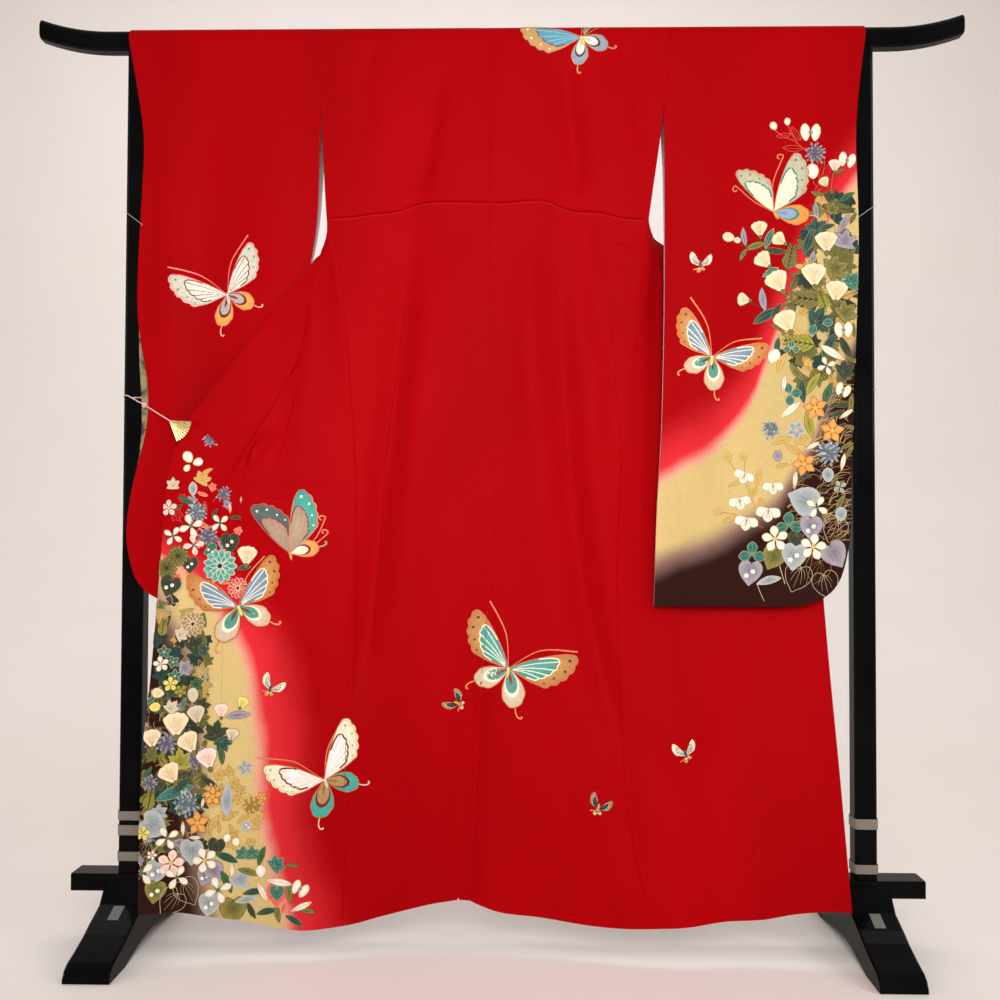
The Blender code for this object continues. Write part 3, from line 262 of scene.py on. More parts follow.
# %% Lacquer, tape, plates
lacquer = Finish("black_lacquer", (0.003, 0.003, 0.004), 0.25, Coat_Weight=0.06,
                 Coat_Roughness=0.06, Specular_IOR_Level=0.03)
lacquer.bump(lacquer.noise(26.0, 1.0), 0.05, 0.002)
lacquer = lacquer.paint(lacquer.ramp(lacquer.noise(9.0, 2.0), (0.001,) * 3, (0.003,) * 3))
tape = mottled("band_tape", (0.20, 0.165, 0.14), 0.75, 900.0, (0.13, 0.105, 0.09),
               (0.30, 0.25, 0.21), stretch=(1, 1, 3), bump=(0.5, 0.0004))
plate_grey = mottled("plate_grey", (0.17, 0.165, 0.15), 0.5, 300.0, (0.12, 0.115, 0.10),
                     (0.24, 0.23, 0.21), detail=2.0, stretch=(1, 6, 1), bump=(0.2, 0.0002),
                     metallic=0.4)


def dress(node, finish):
    node.data.materials.clear()
    node.data.materials.append(finish)


STAND_FINISH = {"stand_": lacquer, "post_": lacquer, "foot_": lacquer, "band_": tape,
                "plate_": plate_grey}
for name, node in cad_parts.items():
    for start, finish in STAND_FINISH.items():
        if name.startswith(start):
            dress(node, finish)
print("lacquered:", [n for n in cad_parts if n.startswith(("stand_", "post_", "foot_"))])

# %% [markdown]
# The cloth is silk crepe, dyed by hand. Its ground is a strong crimson. On one sleeve and one
# front the red is brushed out through a pale blush into gold and then into dark brown. The lines
# below are the middles of those shaded edges. A curve node holds each line, so the edge stays
# smooth however coarse the mesh is.

# %% Dye lines
CRIMSON = (0.43, 0.0006, 0.0030)
ROSE = (0.82, 0.030, 0.040)
BLUSH = (0.90, 0.38, 0.28)
GOLD = (0.76, 0.55, 0.22)
MAUVE = (0.34, 0.19, 0.15)
BROWN = (0.034, 0.010, 0.007)

# Right sleeve: the height of each shaded edge, by place across (x, z)
SLEEVE_GOLD_LINE = [
    (0.27, 0.822), (0.295, 0.836), (0.33, 0.858), (0.384, 0.886), (0.415, 0.918), (0.438, 0.945),
    (0.463, 0.985), (0.479, 1.03), (0.516, 1.128), (0.555, 1.215), (0.59, 1.285), (0.622, 1.345),
    (0.7, 1.43),
]
SLEEVE_BROWN_LINE = [
    (0.27, 0.678), (0.316, 0.698), (0.365, 0.718), (0.428, 0.747), (0.465, 0.772), (0.505, 0.8),
    (0.522, 0.826), (0.545, 0.858), (0.581, 0.934), (0.606, 1.0), (0.7, 1.2),
]
# Left front: the place across of each shaded edge, by height (z, x)
PANEL_GOLD_LINE = [
    (0.01, -0.35), (0.11, -0.374), (0.15, -0.388), (0.195, -0.4), (0.24, -0.41), (0.285, -0.412),
    (0.346, -0.414), (0.435, -0.425), (0.5, -0.438), (0.55, -0.458), (0.603, -0.497),
    (0.674, -0.562), (0.706, -0.62), (0.8, -0.8),
]
PANEL_BROWN_LINE = [
    (0.01, -0.478), (0.08, -0.488), (0.15, -0.504), (0.24, -0.514), (0.33, -0.52), (0.43, -0.525),
    (0.52, -0.545), (0.6, -0.59), (0.8, -0.7),
]
print("dye lines:", len(SLEEVE_GOLD_LINE), "and", len(PANEL_GOLD_LINE), "places")

# %% [markdown]
# A curve node works between 0 and 1, so a line in metres is squeezed into that range, read, and
# stretched back. The distance from the line then chooses the colour: rose begins first, then
# blush, then the gold covers it, as the dyer's brush overlaps one colour with the next while both
# are wet.

# %% Brushed dye
def line_value(finish, across, line):
    """What a line gives for a place across, in metres."""
    first, last = line[0][0], line[-1][0]
    low, high = min(p[1] for p in line), max(p[1] for p in line)
    squeezed = finish.stretched(across, first, last, 0, 1)
    node = finish.node("FloatCurve", {1: squeezed})
    points = node.mapping.curves[0].points
    spots = [((a - first) / (last - first), (b - low) / (high - low)) for a, b in line]
    points[0].location, points[1].location = spots[0], spots[-1]
    for spot in spots[1:-1]:
        points.new(*spot)
    node.mapping.update()
    return finish.stretched(node.outputs[0], 0, 1, low, high)


def brushed_dye(finish, across_name, gold_line, brown_line):
    """Crimson, rose, blush, gold and brown, one after another past each line."""
    parts = finish.node("SeparateXYZ", {0: finish.place()}).outputs
    across = parts[across_name]
    drift = finish.stretched(finish.noise(14.0, 2.0), 0, 1, -0.010, 0.010)
    along = finish.sums("ADD", parts["Z" if across_name == "X" else "X"], drift)
    past_gold, past_brown = (finish.sums("SUBTRACT", line_value(finish, across, line), along)
                             for line in (gold_line, brown_line))
    colour = CRIMSON
    for past, low, high, dye in (
            (past_gold, -0.120, -0.012, ROSE), (past_gold, -0.024, 0.006, BLUSH),
            (past_gold, -0.006, 0.018, GOLD), (past_brown, -0.030, 0.010, MAUVE),
            (past_brown, -0.010, 0.040, BROWN)):
        colour = finish.mix(finish.stretched(past, low, high, 0, 1, "SMOOTHSTEP"), colour, dye)
    return colour


# %% [markdown]
# Crepe is woven from hard-twisted thread that shrinks into a fine, even grain. From two metres the
# grain is too small to see as bumps, but it scatters the light, so the silk glows softly at a
# slant. Sheen gives the glow and a fine noise the grain; a broad faint noise keeps a wide red
# field from looking printed.

# %% Silk
def silk_material(name, *dye):
    finish = Finish(name, CRIMSON, 0.55, Sheen_Weight=0.08, Sheen_Roughness=0.4,
                    Sheen_Tint=(1.0, 0.10, 0.08), Specular_IOR_Level=0.02)
    colour = brushed_dye(finish, *dye) if dye else CRIMSON
    grain = finish.noise(620.0, 2.0, (1, 1, 0.55))
    cloud = finish.noise(4.0, 3.0, (1.0, 1.0, 0.35))
    for source, low in ((grain, 0.82), (cloud, 0.80)):
        colour = finish.mix(1.0, colour, finish.ramp(source, (low,) * 3, (1.0,) * 3), "MULTIPLY")
    finish.bump(grain, 0.25, 0.0005)
    return finish.paint(colour)


crepe = silk_material("silk_crimson")
sleeve_silk = silk_material("silk_sleeve_dyed", "X", SLEEVE_GOLD_LINE, SLEEVE_BROWN_LINE)
panel_silk = silk_material("silk_front_dyed", "Z", PANEL_GOLD_LINE, PANEL_BROWN_LINE)
lining = mottled("silk_lining", (0.55, 0.44, 0.44), 0.5, 700.0, (0.50, 0.41, 0.42),
                 (0.60, 0.52, 0.52), bump=(0.2, 0.0004), Sheen_Weight=0.1)
hem_edge = mottled("hem_edge", (0.34, 0.08, 0.11), 0.55, 500.0, (0.28, 0.05, 0.08),
                   (0.42, 0.14, 0.17), bump=(0.2, 0.0004))

# The left sleeve's lining is dyed too, along the outer edge that shows beside the post
dyed = Finish("silk_lining_dyed", (0.20, 0.14, 0.08), 0.5)
leafy = dyed.noise(34.0, 3.0)
inward = dyed.stretched(dyed.node("SeparateXYZ", {0: dyed.place()}).outputs["X"],
                        -0.635, -0.600, 0, 1)
dyed.bump(leafy, 0.1, 0.0004)
edge_lining = dyed.paint(dyed.mix(inward, dyed.ramp(leafy, BROWN, (0.27, 0.22, 0.08), 0.44, 0.56),
                                  (0.55, 0.46, 0.47)))
print("silk:", crepe.name, sleeve_silk.name, panel_silk.name, lining.name, hem_edge.name)

# %% [markdown]
# Each panel starts as a merged copy of its solid, so it hangs exactly where the solid does. The
# triangles are joined back into the four-sided faces they came from, the edges of the wall are
# creased so that they stay put, and two rounds of subdivision turn the flat faces into smooth
# cloth. An edge that is sewn to a neighbour keeps the colour of the cloth, and only a free edge
# shows the thin roll of lining that finishes it.

# %% Panels from the frame
WALL = 0.002
SAME_LENGTH = 0.00002
SEAM_REACH = 0.0016
PANEL_NAMES = ("sleeve_left", "body_left", "okumi_left", "collar", "body_right", "okumi_right",
               "sleeve_right")


def tree_of(mesh, faces=None):
    """A search tree of a mesh, or of some of its faces."""
    chosen = mesh.polygons if faces is None else faces
    return BVHTree.FromPolygons([v.co for v in mesh.vertices], [list(f.vertices) for f in chosen])


solid_tree = {name: tree_of(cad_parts[name].data) for name in PANEL_NAMES}


def wall_edges(bm):
    """The short edges that cross the wall from its right side to its lining."""
    return {e for e in bm.edges if abs(e.calc_length() - WALL) < SAME_LENGTH
            and abs((e.verts[0].co - e.verts[1].co).normalized().dot(e.verts[0].normal)) > 0.55}


def flood(start, fence):
    """All faces reached from one face without entering the fence."""
    found = {start}
    queue = [start]
    while queue:
        for edge in queue.pop().edges:
            fresh = [f for f in edge.link_faces if f not in found and f not in fence]
            found.update(fresh)
            queue += fresh
    return found


def looks_out(shell):
    """How far the lowest faces of a shell look away from the viewer."""
    low = min(f.calc_center_median().z for f in shell)
    near = [f for f in shell if f.calc_center_median().z < low + 0.12]
    return sum(f.normal.y * f.calc_area() for f in near)


def sewn(face, node_name):
    """True where a face of the wall's edge meets a neighbouring panel."""
    centre = face.calc_center_median()
    return any(solid_tree[other].find_nearest(centre, SEAM_REACH)[0] is not None
               for other in PANEL_NAMES if other != node_name)


def mark_rim(bm, rim, crossing):
    """Crease and sharpen the loops where the wall's edge begins, and hold their corners."""
    crease = bm.edges.layers.float["crease_edge"]
    corner = bm.verts.layers.float["crease_vert"]
    along = {}
    for edge in bm.edges:
        if edge not in crossing and any(f in rim for f in edge.link_faces):
            edge[crease] = 1.0
            edge.smooth = False
            for vert in edge.verts:
                along.setdefault(vert, []).append(edge)
    for vert, edges in along.items():
        if len(edges) == 2:
            a, b = ((e.other_vert(vert).co - vert.co).normalized() for e in edges)
            if a.dot(b) > -0.80:
                vert[corner] = 1.0


def seen_shell(bm, rim):
    """Of the two largest sheets of faces between the rims, the one that looks at the viewer."""
    shells = []
    left = {f for f in bm.faces if f not in rim}
    while left:
        shells.append(flood(next(iter(left)), rim))
        left -= shells[-1]
    return min(sorted(shells, key=len, reverse=True)[:2], key=looks_out)


def cloth_from(node_name, finish, levels=2):
    """A panel of silk made from its solid: subdivided, and with its lining told apart."""
    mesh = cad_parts[node_name].data.copy()
    mesh.name = node_name + "_silk"
    cloth = linked(node_name + "_silk", mesh)
    bm = bmesh.new()
    bm.from_mesh(mesh)
    right_side = bm.faces.layers.int.new("right_side")
    bm.edges.layers.float.new("crease_edge")
    bm.verts.layers.float.new("crease_vert")
    bmesh.ops.remove_doubles(bm, verts=bm.verts, dist=SAME_LENGTH)
    bmesh.ops.join_triangles(bm, faces=bm.faces, angle_face_threshold=math.radians(30),
                             angle_shape_threshold=math.radians(50), cmp_seam=False)
    bm.normal_update()
    crossing = wall_edges(bm)
    rim = {f for f in bm.faces if any(e in crossing for e in f.edges)}
    outside = seen_shell(bm, rim)
    sewn_faces = 0
    for face in bm.faces:
        face.smooth = True
        if face in rim:
            seam = sewn(face, node_name)
            sewn_faces += seam
            face.material_index = 0 if seam else 2
        else:
            face.material_index = 0 if face in outside else 1
    mark_rim(bm, rim, crossing)
    for face in outside:
        face[right_side] = 1
    mesh.materials.clear()
    for material in (finish, edge_lining if node_name == "sleeve_left" else lining, hem_edge):
        mesh.materials.append(material)
    bm.to_mesh(mesh)
    bm.free()
    smooth = cloth.modifiers.new("smooth", "SUBSURF")
    smooth.levels = smooth.render_levels = levels
    only_active(cloth)
    bpy.ops.object.modifier_apply(modifier="smooth")
    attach(cloth, "root")
    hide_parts(node_name)
    print(node_name, len(mesh.polygons), "faces, rim", len(rim), "of which sewn", sewn_faces)
    return cloth


PANEL_FINISH = {"sleeve_right": sleeve_silk, "body_left": panel_silk, "okumi_left": panel_silk}
silk = {name: cloth_from(name, PANEL_FINISH.get(name, crepe)) for name in PANEL_NAMES}

# %% [markdown]
# Cloth that hangs for months keeps a few long soft troughs, and the sharp squares of the chest it
# was stored in. They are pressed in one by one, each by its own path, depth and width, since no
# two are alike. A press moves both sides of the wall together, so the cloth keeps its thickness.

# %% Troughs and storage creases
def soft_step(value, low, high):
    t = np.clip((value - low) / (high - low), 0, 1)
    return t * t * (3 - 2 * t)


def facing(mesh, side):
    """For each vertex, how surely its cloth's right side faces the viewer, or for -1 away."""
    total, count = np.zeros((2, len(mesh.vertices)))
    for face in mesh.polygons:
        sign = {0: -1, 1: 1}.get(face.material_index)
        if sign:
            corners = list(face.vertices)
            total[corners] += sign * side * face.normal.y
            count[corners] += 1
    return soft_step(total / np.maximum(count, 1), 0.05, 0.45)


def press(cloth, share_of, path, depth, width):
    """Push a panel away from the viewer along a path; a negative depth lifts a ridge."""
    mesh = cloth.data
    points = np.empty(len(mesh.vertices) * 3)
    mesh.vertices.foreach_get("co", points)
    points = points.reshape(-1, 3)
    flat = points[:, [0, 2]]
    line = np.array(path)
    nearest = np.full(len(points), 9.0)
    share = np.zeros(len(points))
    for n, (a, b) in enumerate(zip(line, line[1:])):
        t = np.clip((flat - a) @ (b - a) / ((b - a) @ (b - a)), 0, 1)
        far = np.linalg.norm(flat - (a + t[:, None] * (b - a)), axis=1)
        closer = far < nearest
        nearest[closer] = far[closer]
        share[closer] = (n + t[closer]) / (len(line) - 1)
    ends = soft_step(share, 0.0, 0.18) * (1 - soft_step(share, 0.82, 1.0))
    points[:, 1] += depth * np.exp(-(nearest / width) ** 2) * ends * share_of
    mesh.vertices.foreach_set("co", points.ravel())
    mesh.update()


BODIES = ("body_left", "body_right")
LEFT_FRONT = ("body_left", "okumi_left")
RIGHT_FRONT = ("body_right", "okumi_right")
# What a written depth is multiplied by: a body hangs more freely than a sleeve
BODY_STRENGTH = 2.4
SLEEVE_STRENGTH = 1.3
# Panels, path of places (x, z), depth, width
CREASES = [
    (BODIES, [(-0.102, 1.595), (-0.122, 1.47), (-0.148, 1.342)], 0.0032, 0.017),
    (BODIES, [(0.118, 1.613), (0.136, 1.48), (0.151, 1.351)], 0.0036, 0.019),
    (BODIES, [(0.006, 1.64), (0.01, 1.52), (0.002, 1.38)], -0.002, 0.03),
    (BODIES, [(-0.228, 1.64), (-0.246, 1.56), (-0.24, 1.45)], 0.0022, 0.016),
    (BODIES, [(0.236, 1.64), (0.25, 1.545), (0.262, 1.43)], 0.0024, 0.014),
    (BODIES, [(0.15, 1.33), (0.172, 1.22), (0.184, 1.06)], 0.0026, 0.022),
    (BODIES, [(-0.152, 1.296), (-0.173, 1.038), (-0.2, 0.817), (-0.228, 0.598), (-0.242, 0.442)],
     0.0034, 0.024),
    (BODIES, [(0.107, 1.292), (0.123, 0.928), (0.139, 0.763), (0.168, 0.557), (0.188, 0.491),
     (0.218, 0.391), (0.24, 0.2), (0.253, 0.058)], 0.0036, 0.024),
    (BODIES, [(0.06, 1.27), (0.066, 1.1), (0.06, 0.9)], -0.0022, 0.03),
    (BODIES, [(-0.06, 1.29), (-0.078, 1.1), (-0.082, 0.86)], -0.002, 0.034),
    ((*LEFT_FRONT, "collar"), [(-0.45, 0.806), (-0.35, 0.809), (-0.257, 0.806)], 0.0016, 0.008),
    ((*LEFT_FRONT, "collar"), [(-0.4, 0.922), (-0.428, 0.89), (-0.452, 0.86)], 0.0022, 0.009),
    ((*LEFT_FRONT, "collar"), [(-0.372, 0.945), (-0.408, 0.902), (-0.436, 0.866)], 0.0018, 0.008),
    (LEFT_FRONT, [(-0.33, 0.56), (-0.345, 0.42), (-0.35, 0.26)], 0.003, 0.02),
    (("sleeve_left",), [(-0.665, 0.797), (-0.57, 0.795), (-0.47, 0.799)], 0.0014, 0.008),
    (("sleeve_left",), [(-0.515, 1.56), (-0.528, 1.25), (-0.545, 0.76)], 0.004, 0.045),
    (("sleeve_left",), [(-0.42, 1.6), (-0.398, 1.36), (-0.41, 1.08)], -0.003, 0.038),
    (("sleeve_left",), [(-0.48, 1.28), (-0.41, 1.18), (-0.36, 1.06)], 0.0016, 0.01),
    (("sleeve_right",), [(0.325, 0.805), (0.38, 0.806), (0.425, 0.804)], 0.001, 0.007),
    (("sleeve_right",), [(0.474, 1.56), (0.455, 1.2), (0.446, 0.8)], 0.004, 0.048),
    (("sleeve_right",), [(0.56, 1.58), (0.575, 1.3), (0.56, 0.98)], -0.0026, 0.04),
    (("sleeve_right",), [(0.345, 1.48), (0.33, 1.18), (0.342, 0.9)], 0.0024, 0.026),
]
# The same for the cloth that hangs behind, which the viewer does not see
HIDDEN_CREASES = [
    (RIGHT_FRONT, [(0.1, 1.45), (0.115, 1.15), (0.12, 0.8), (0.1, 0.5)], 0.003, 0.022),
    (RIGHT_FRONT, [(0.24, 1.4), (0.235, 1.0), (0.25, 0.6)], 0.0028, 0.02),
    (RIGHT_FRONT, [(0.17, 1.3), (0.18, 0.95), (0.17, 0.65)], -0.0012, 0.028),
    (("body_left",), [(-0.12, 1.5), (-0.13, 1.25), (-0.15, 1.0)], 0.0026, 0.022),
    (("body_left",), [(-0.22, 1.45), (-0.235, 1.2), (-0.25, 1.0)], 0.0022, 0.02),
    (("sleeve_right",), [(0.5, 1.55), (0.52, 1.2), (0.5, 0.85)], 0.0035, 0.045),
    (("sleeve_right",), [(0.38, 1.5), (0.395, 1.15), (0.385, 0.8)], 0.0025, 0.03),
    (("sleeve_left",), [(-0.5, 1.55), (-0.515, 1.2), (-0.5, 0.9)], 0.0035, 0.045),
    (("sleeve_left",), [(-0.39, 1.48), (-0.4, 1.2), (-0.39, 0.95)], 0.0024, 0.028),
]
for creases, side in ((CREASES, 1), (HIDDEN_CREASES, -1)):
    seen = {name: facing(silk[name].data, side) for name in PANEL_NAMES}
    for names, path, depth, width in creases:
        for name in names:
            strength = SLEEVE_STRENGTH if name.startswith("sleeve") else BODY_STRENGTH
            press(silk[name], seen[name], path, depth * strength, width)
    print("creases:", len(creases))

# %% [markdown]
# The dyed figures are patches of colour, outlined with a fine line of gold paste that stopped the
# dye from running. Each patch could be painted into the cloth's colour, but then every edge would
# blur at the width of one face. Here a patch is a very thin sheet of its own, pressed onto the
# finished cloth: its outline stays crisp, and the gold line can stand a hair above the silk.

# %% Spacing and rounding
MM = 0.001


def respaced(path, step, closed=False):
    """The same path with its points at even steps."""
    path = np.asarray(path, float)
    if closed:
        path = np.concatenate([path, path[:1]])
    run = np.concatenate([[0], np.cumsum(np.linalg.norm(np.diff(path, axis=0), axis=1))])
    count = max(8 if closed else 2, int(round(run[-1] / step)))
    marks = np.linspace(0, run[-1], count + 1)
    even = np.stack([np.interp(marks, run, path[:, n]) for n in (0, 1)], axis=1)
    return even[:-1] if closed else even


def rounded(points, closed=True, each=6):
    """A smooth curve through a few points."""
    points = [np.asarray(p, float) for p in points]
    count = len(points)
    out = []
    for n in range(count if closed else count - 1):
        near = [n + k for k in (-1, 0, 1, 2)]
        a, b, c, d = (points[k % count if closed else min(max(k, 0), count - 1)] for k in near)
        for t in (m / each for m in range(each)):
            out.append(0.5 * (2 * b + (c - a) * t + (2 * a - 5 * b + 4 * c - d) * t * t
                              + (3 * b - a - 3 * c + d) * t ** 3))
    return np.array(out if closed else out + points[-1:])


def placed(form, place, size, angle, flip=False):
    """A form turned by an angle in degrees, scaled, and moved to its place."""
    form = np.asarray(form, float) * (1, -1 if flip else 1) * size
    c, s = math.cos(math.radians(angle)), math.sin(math.radians(angle))
    return form @ np.array([[c, s], [-s, c]]) + np.asarray(place)


def way(angle, length=1.0):
    return np.array([math.cos(math.radians(angle)), math.sin(math.radians(angle))]) * length


def off(place, angle, length):
    """A place some way off another, at an angle."""
    return np.asarray(place) + way(angle, length)


print("half a turn of way:", way(180).round(3))

# %% [markdown]
# A sheet of patches looks straight at the cloth from the viewer's side and sets each of its points
# where that look meets the silk. A point past the cloth's edge slides back towards the middle of
# its patch, so a figure that runs over a seam or a hem is cut off cleanly there. A grid of small
# cells remembers how high the patches lie, and a later one that overlaps them lies a step higher.
# Fine lines share one step, because a hundred blades of grass need not stand on one another.

# %% Patches on cloth
class Patches:
    """Thin patches that lie on finished panels: dye, gold line or thread."""
    FIRST_LIFT = 0.00035
    LEVEL_LIFT = 0.00004
    THICKNESS = 0.0001
    MOST_LEVELS = 70
    CELL = 0.003
    PROBE = 0.0015
    FINE_LINE = 0.0028
    heights = {}

    def __init__(self, name, panels, finishes):
        self.name = name
        self.finishes = finishes
        self.trees = []
        for panel in panels:
            mesh = silk[panel].data
            marks = mesh.attributes["right_side"].data
            self.trees.append(tree_of(mesh, [f for f in mesh.polygons if marks[f.index].value]))
        self.corners, self.faces, self.tints, self.slots = [], [], [], []
        self.top = 0

    def touch(self, x, z):
        """The point and normal of the silk that is seen at a place."""
        best = None
        for tree in self.trees:
            spot, normal, _, _ = tree.ray_cast((x, -1.0, z), (0, 1, 0))
            if spot is not None and normal.y < -0.05 and (best is None or spot.y < best[0].y):
                best = (spot, normal)
        return best

    def touch_near(self, x, z):
        return self.touch(x, z) or self.touch(x - 0.0008, z) or self.touch(x + 0.0008, z)

    def held(self, centre, point):
        """The point, or the last place on the way to it that is still on cloth."""
        if self.touch_near(*point):
            return point
        low, high = 0.0, 1.0
        for _ in range(7):
            middle = (low + high) / 2
            if self.touch_near(*(centre + (point - centre) * middle)):
                low = middle
            else:
                high = middle
        return centre + (point - centre) * low

    def lift(self, points, broad=True):
        """One step above what the cells of these points hold; a fine line ignores lines."""
        cells = {tuple(c) for c in np.floor(points / self.CELL).astype(int)}
        below = [self.heights.get(c, (-1, -1)) for c in cells]
        level = min(max(max(b) if broad else b[0] for b in below) + 1, self.MOST_LEVELS)
        for cell in cells:
            patch, line = self.heights.get(cell, (-1, -1))
            self.heights[cell] = (level, line) if broad else (patch, max(line, level))
        self.top = max(self.top, level)
        return self.FIRST_LIFT + self.LEVEL_LIFT * level

    def set_down(self, x, z, lift, colour):
        """Add one corner on the cloth; a seam's gap takes its depth from beside it."""
        self.last = self.touch_near(x, z) or self.last
        spot, normal = self.last
        self.corners.append(Vector((x, spot.y, z)) + normal * lift)
        self.tints.append((*colour, 1.0))

    def fill(self, outline, inner, edge=None, slot=0):
        """A patch of dye, from the colour at its middle to the colour at its edge."""
        outline = np.asarray(outline, float)
        inner = np.asarray(inner)
        edge = inner if edge is None else np.asarray(edge)
        around = np.linalg.norm(np.diff(outline, axis=0, append=outline[:1]), axis=1).sum()
        outline = respaced(outline, min(max(around / 16, 0.0010), 0.0042), True)
        nxt = np.roll(outline, -1, axis=0)
        if (outline[:, 0] * nxt[:, 1] - nxt[:, 0] * outline[:, 1]).sum() < 0:
            outline = outline[::-1]
        centre = outline.mean(axis=0)
        self.last = self.touch_near(*centre)
        if self.last is None:
            return
        farthest = np.linalg.norm(outline - centre, axis=1).max()
        steps = max(2, math.ceil(farthest / self.PROBE))
        lift = self.lift(np.concatenate([centre + (outline - centre) * k / steps
                                         for k in range(steps + 1)]))
        rim = np.array([self.held(centre, p) for p in outline])
        rings = max(1, math.ceil(np.linalg.norm(rim - centre, axis=1).max() / 0.009))
        start = len(self.corners)
        self.set_down(*centre, lift, inner)
        for share in (k / rings for k in range(1, rings + 1)):
            for p in rim:
                self.set_down(*(centre + (p - centre) * share), lift,
                              inner * (1 - share) + edge * share)
        count = len(rim)
        for n in range(count):
            m = (n + 1) % count
            self.faces.append((start, start + 1 + n, start + 1 + m))
            for a in range(start + 1, start + 1 + (rings - 1) * count, count):
                self.faces.append((a + n, a + count + n, a + count + m, a + m))
        self.slots += [slot] * (len(self.faces) - len(self.slots))

    def stroke(self, path, width, colour, end_width=None, closed=False, slot=0, crown=0.0,
               step=0.0036, over=False):
        """A brush or thread line; crown lifts its middle, over sets it above other lines."""
        colour = np.asarray(colour)
        path = respaced(path, step, closed)
        if closed:
            path = np.concatenate([path, path[:1]])
        covered = respaced(path, self.PROBE) if len(path) > 1 else path
        lift = self.lift(covered, over or max(width, end_width or 0) > self.FINE_LINE)
        ahead = np.gradient(path, axis=0)
        if closed:
            ahead[0] = ahead[-1] = path[1] - path[-2]
        ahead /= np.maximum(np.linalg.norm(ahead, axis=1), 1e-9)[:, None]
        beside = np.stack([-ahead[:, 1], ahead[:, 0]], axis=1)
        widths = np.linspace(width, width if end_width is None else end_width, len(path)) / 2
        across = (1, 0, -1) if crown else (1, -1)
        before = None
        for p, side, half in zip(path, beside, widths):
            spots = [p + side * half * k for k in across]
            if not all(self.touch_near(*s) for s in spots):
                before = None
                continue
            start = len(self.corners)
            for k, s in zip(across, spots):
                self.set_down(*s, lift + (crown if k == 0 else 0), colour)
            if before is not None:
                for k in range(len(across) - 1):
                    self.faces.append((before + k, before + k + 1, start + k + 1, start + k))
                    self.slots.append(slot)
            before = start

    def make(self):
        """The finished piece: one thin closed skin for each patch."""
        mesh = bpy.data.meshes.new(self.name)
        mesh.from_pydata(self.corners, [], self.faces)
        for finish in self.finishes:
            mesh.materials.append(finish)
        mesh.polygons.foreach_set("material_index", self.slots)
        stored = mesh.color_attributes.new("tint", "FLOAT_COLOR", "POINT")
        stored.data.foreach_set("color", np.array(self.tints).ravel())
        mesh.update()
        piece = linked(self.name, mesh)
        skin = piece.modifiers.new("skin", "SOLIDIFY")
        skin.thickness = self.THICKNESS
        skin.offset = -1
        only_active(piece)
        bpy.ops.object.modifier_apply(modifier="skin")
        bpy.ops.object.shade_smooth_by_angle(angle=math.radians(35))
        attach(piece, "root")
        print(self.name, "triangles", sum(len(f.vertices) - 2 for f in mesh.polygons),
              "levels", self.top)
        return piece


def tinted_material(name, roughness, metallic=0.0, sheen=0.0, specular=0.2):
    """A finish whose colour is kept at each point of a patch."""
    finish = Finish(name, (0.5, 0.5, 0.5), roughness, metallic, Specular_IOR_Level=specular,
                    Sheen_Weight=sheen)
    stored = finish.node("Attribute", {}, attribute_name="tint").outputs["Color"]
    wash = finish.ramp(finish.noise(160.0), (0.84,) * 3, (1.0,) * 3, 0.3, 0.65)
    finish.bump(finish.noise(620.0, 1.0), 0.2, 0.0004)
    return finish.paint(finish.mix(1.0, stored, wash, "MULTIPLY"))


dye_ink = tinted_material("dyed_figures", 0.6, sheen=0.1)
gold_paste = tinted_material("gold_paste_line", 0.42, 0.25)
thread = tinted_material("silk_thread", 0.5, specular=0.1)
seam_dye = tinted_material("seam_crimson", 0.6, specular=0.02)
DYES = [dye_ink, gold_paste]
print("finishes:", dye_ink.name, gold_paste.name, thread.name, seam_dye.name)


# %% [markdown]
# Colours are written as they would be read off a dyer's chart, from 0 to 255, and turned into the
# linear values that a shader works with. Each ink is a pair of tones, at the middle of a patch and
# at its edge, and the colour of the line round it. An ink without tones is a bare line.

# %% Inks
def ink(*chart):
    """A chart colour as linear light."""
    return tuple(((c / 255 + 0.055) / 1.055) ** 2.4 if c > 10 else c / 255 / 12.92 for c in chart)


INKS = {name: tuple(c and ink(*c) for c in tones) for name, tones in {
    "white": ((250, 244, 230), (236, 222, 196), (196, 150, 96)),
    "cream": ((226, 198, 148), (246, 226, 188), (176, 132, 84)),
    "blush": ((238, 190, 165), (250, 228, 212), (215, 120, 95)),
    "beige": ((205, 185, 150), (225, 210, 180), (150, 120, 90)),
    "lilac": ((124, 116, 130), (172, 162, 168), (112, 84, 94)),
    "grey": ((124, 136, 142), (180, 184, 184), (200, 192, 168)),
    "teal": ((20, 84, 76), (48, 128, 112), (170, 158, 112)),
    "deep": ((16, 48, 42), (42, 84, 72), (118, 122, 86)),
    "green": ((38, 78, 50), (72, 118, 66), (26, 44, 32)),
    "dark": ((32, 42, 30), (58, 62, 42), (104, 104, 66)),
    "olive": ((92, 90, 36), (146, 134, 66), (58, 54, 28)),
    "lime": ((128, 124, 34), (184, 170, 66), (78, 80, 32)),
    "orange": ((240, 176, 92), (224, 146, 66), (180, 98, 44)),
    "yellow": ((226, 196, 74), (244, 228, 132), (160, 142, 62)),
    "gold": ((200, 158, 78), (216, 178, 100), (168, 124, 56)),
    "rust": ((214, 62, 52), (232, 108, 90), (244, 160, 124)),
    "teal line": ((52, 132, 118), (120, 186, 166), (238, 230, 200)),
    "blush line": ((196, 40, 44), (214, 90, 80), (248, 206, 180)),
    "cream line": ((150, 110, 74), (188, 152, 104), (236, 216, 176)),
    "gold line": (None, None, (214, 174, 96)),
    "brown line": (None, None, (150, 116, 74)),
    "pale line": (None, None, (196, 178, 140)),
    "red line": (None, None, (214, 84, 66)),
}.items()}
DARK = ink(52, 34, 26)
WHITE_DOT = ink(250, 242, 222)
CRIMSON_LINE = ink(196, 30, 34)
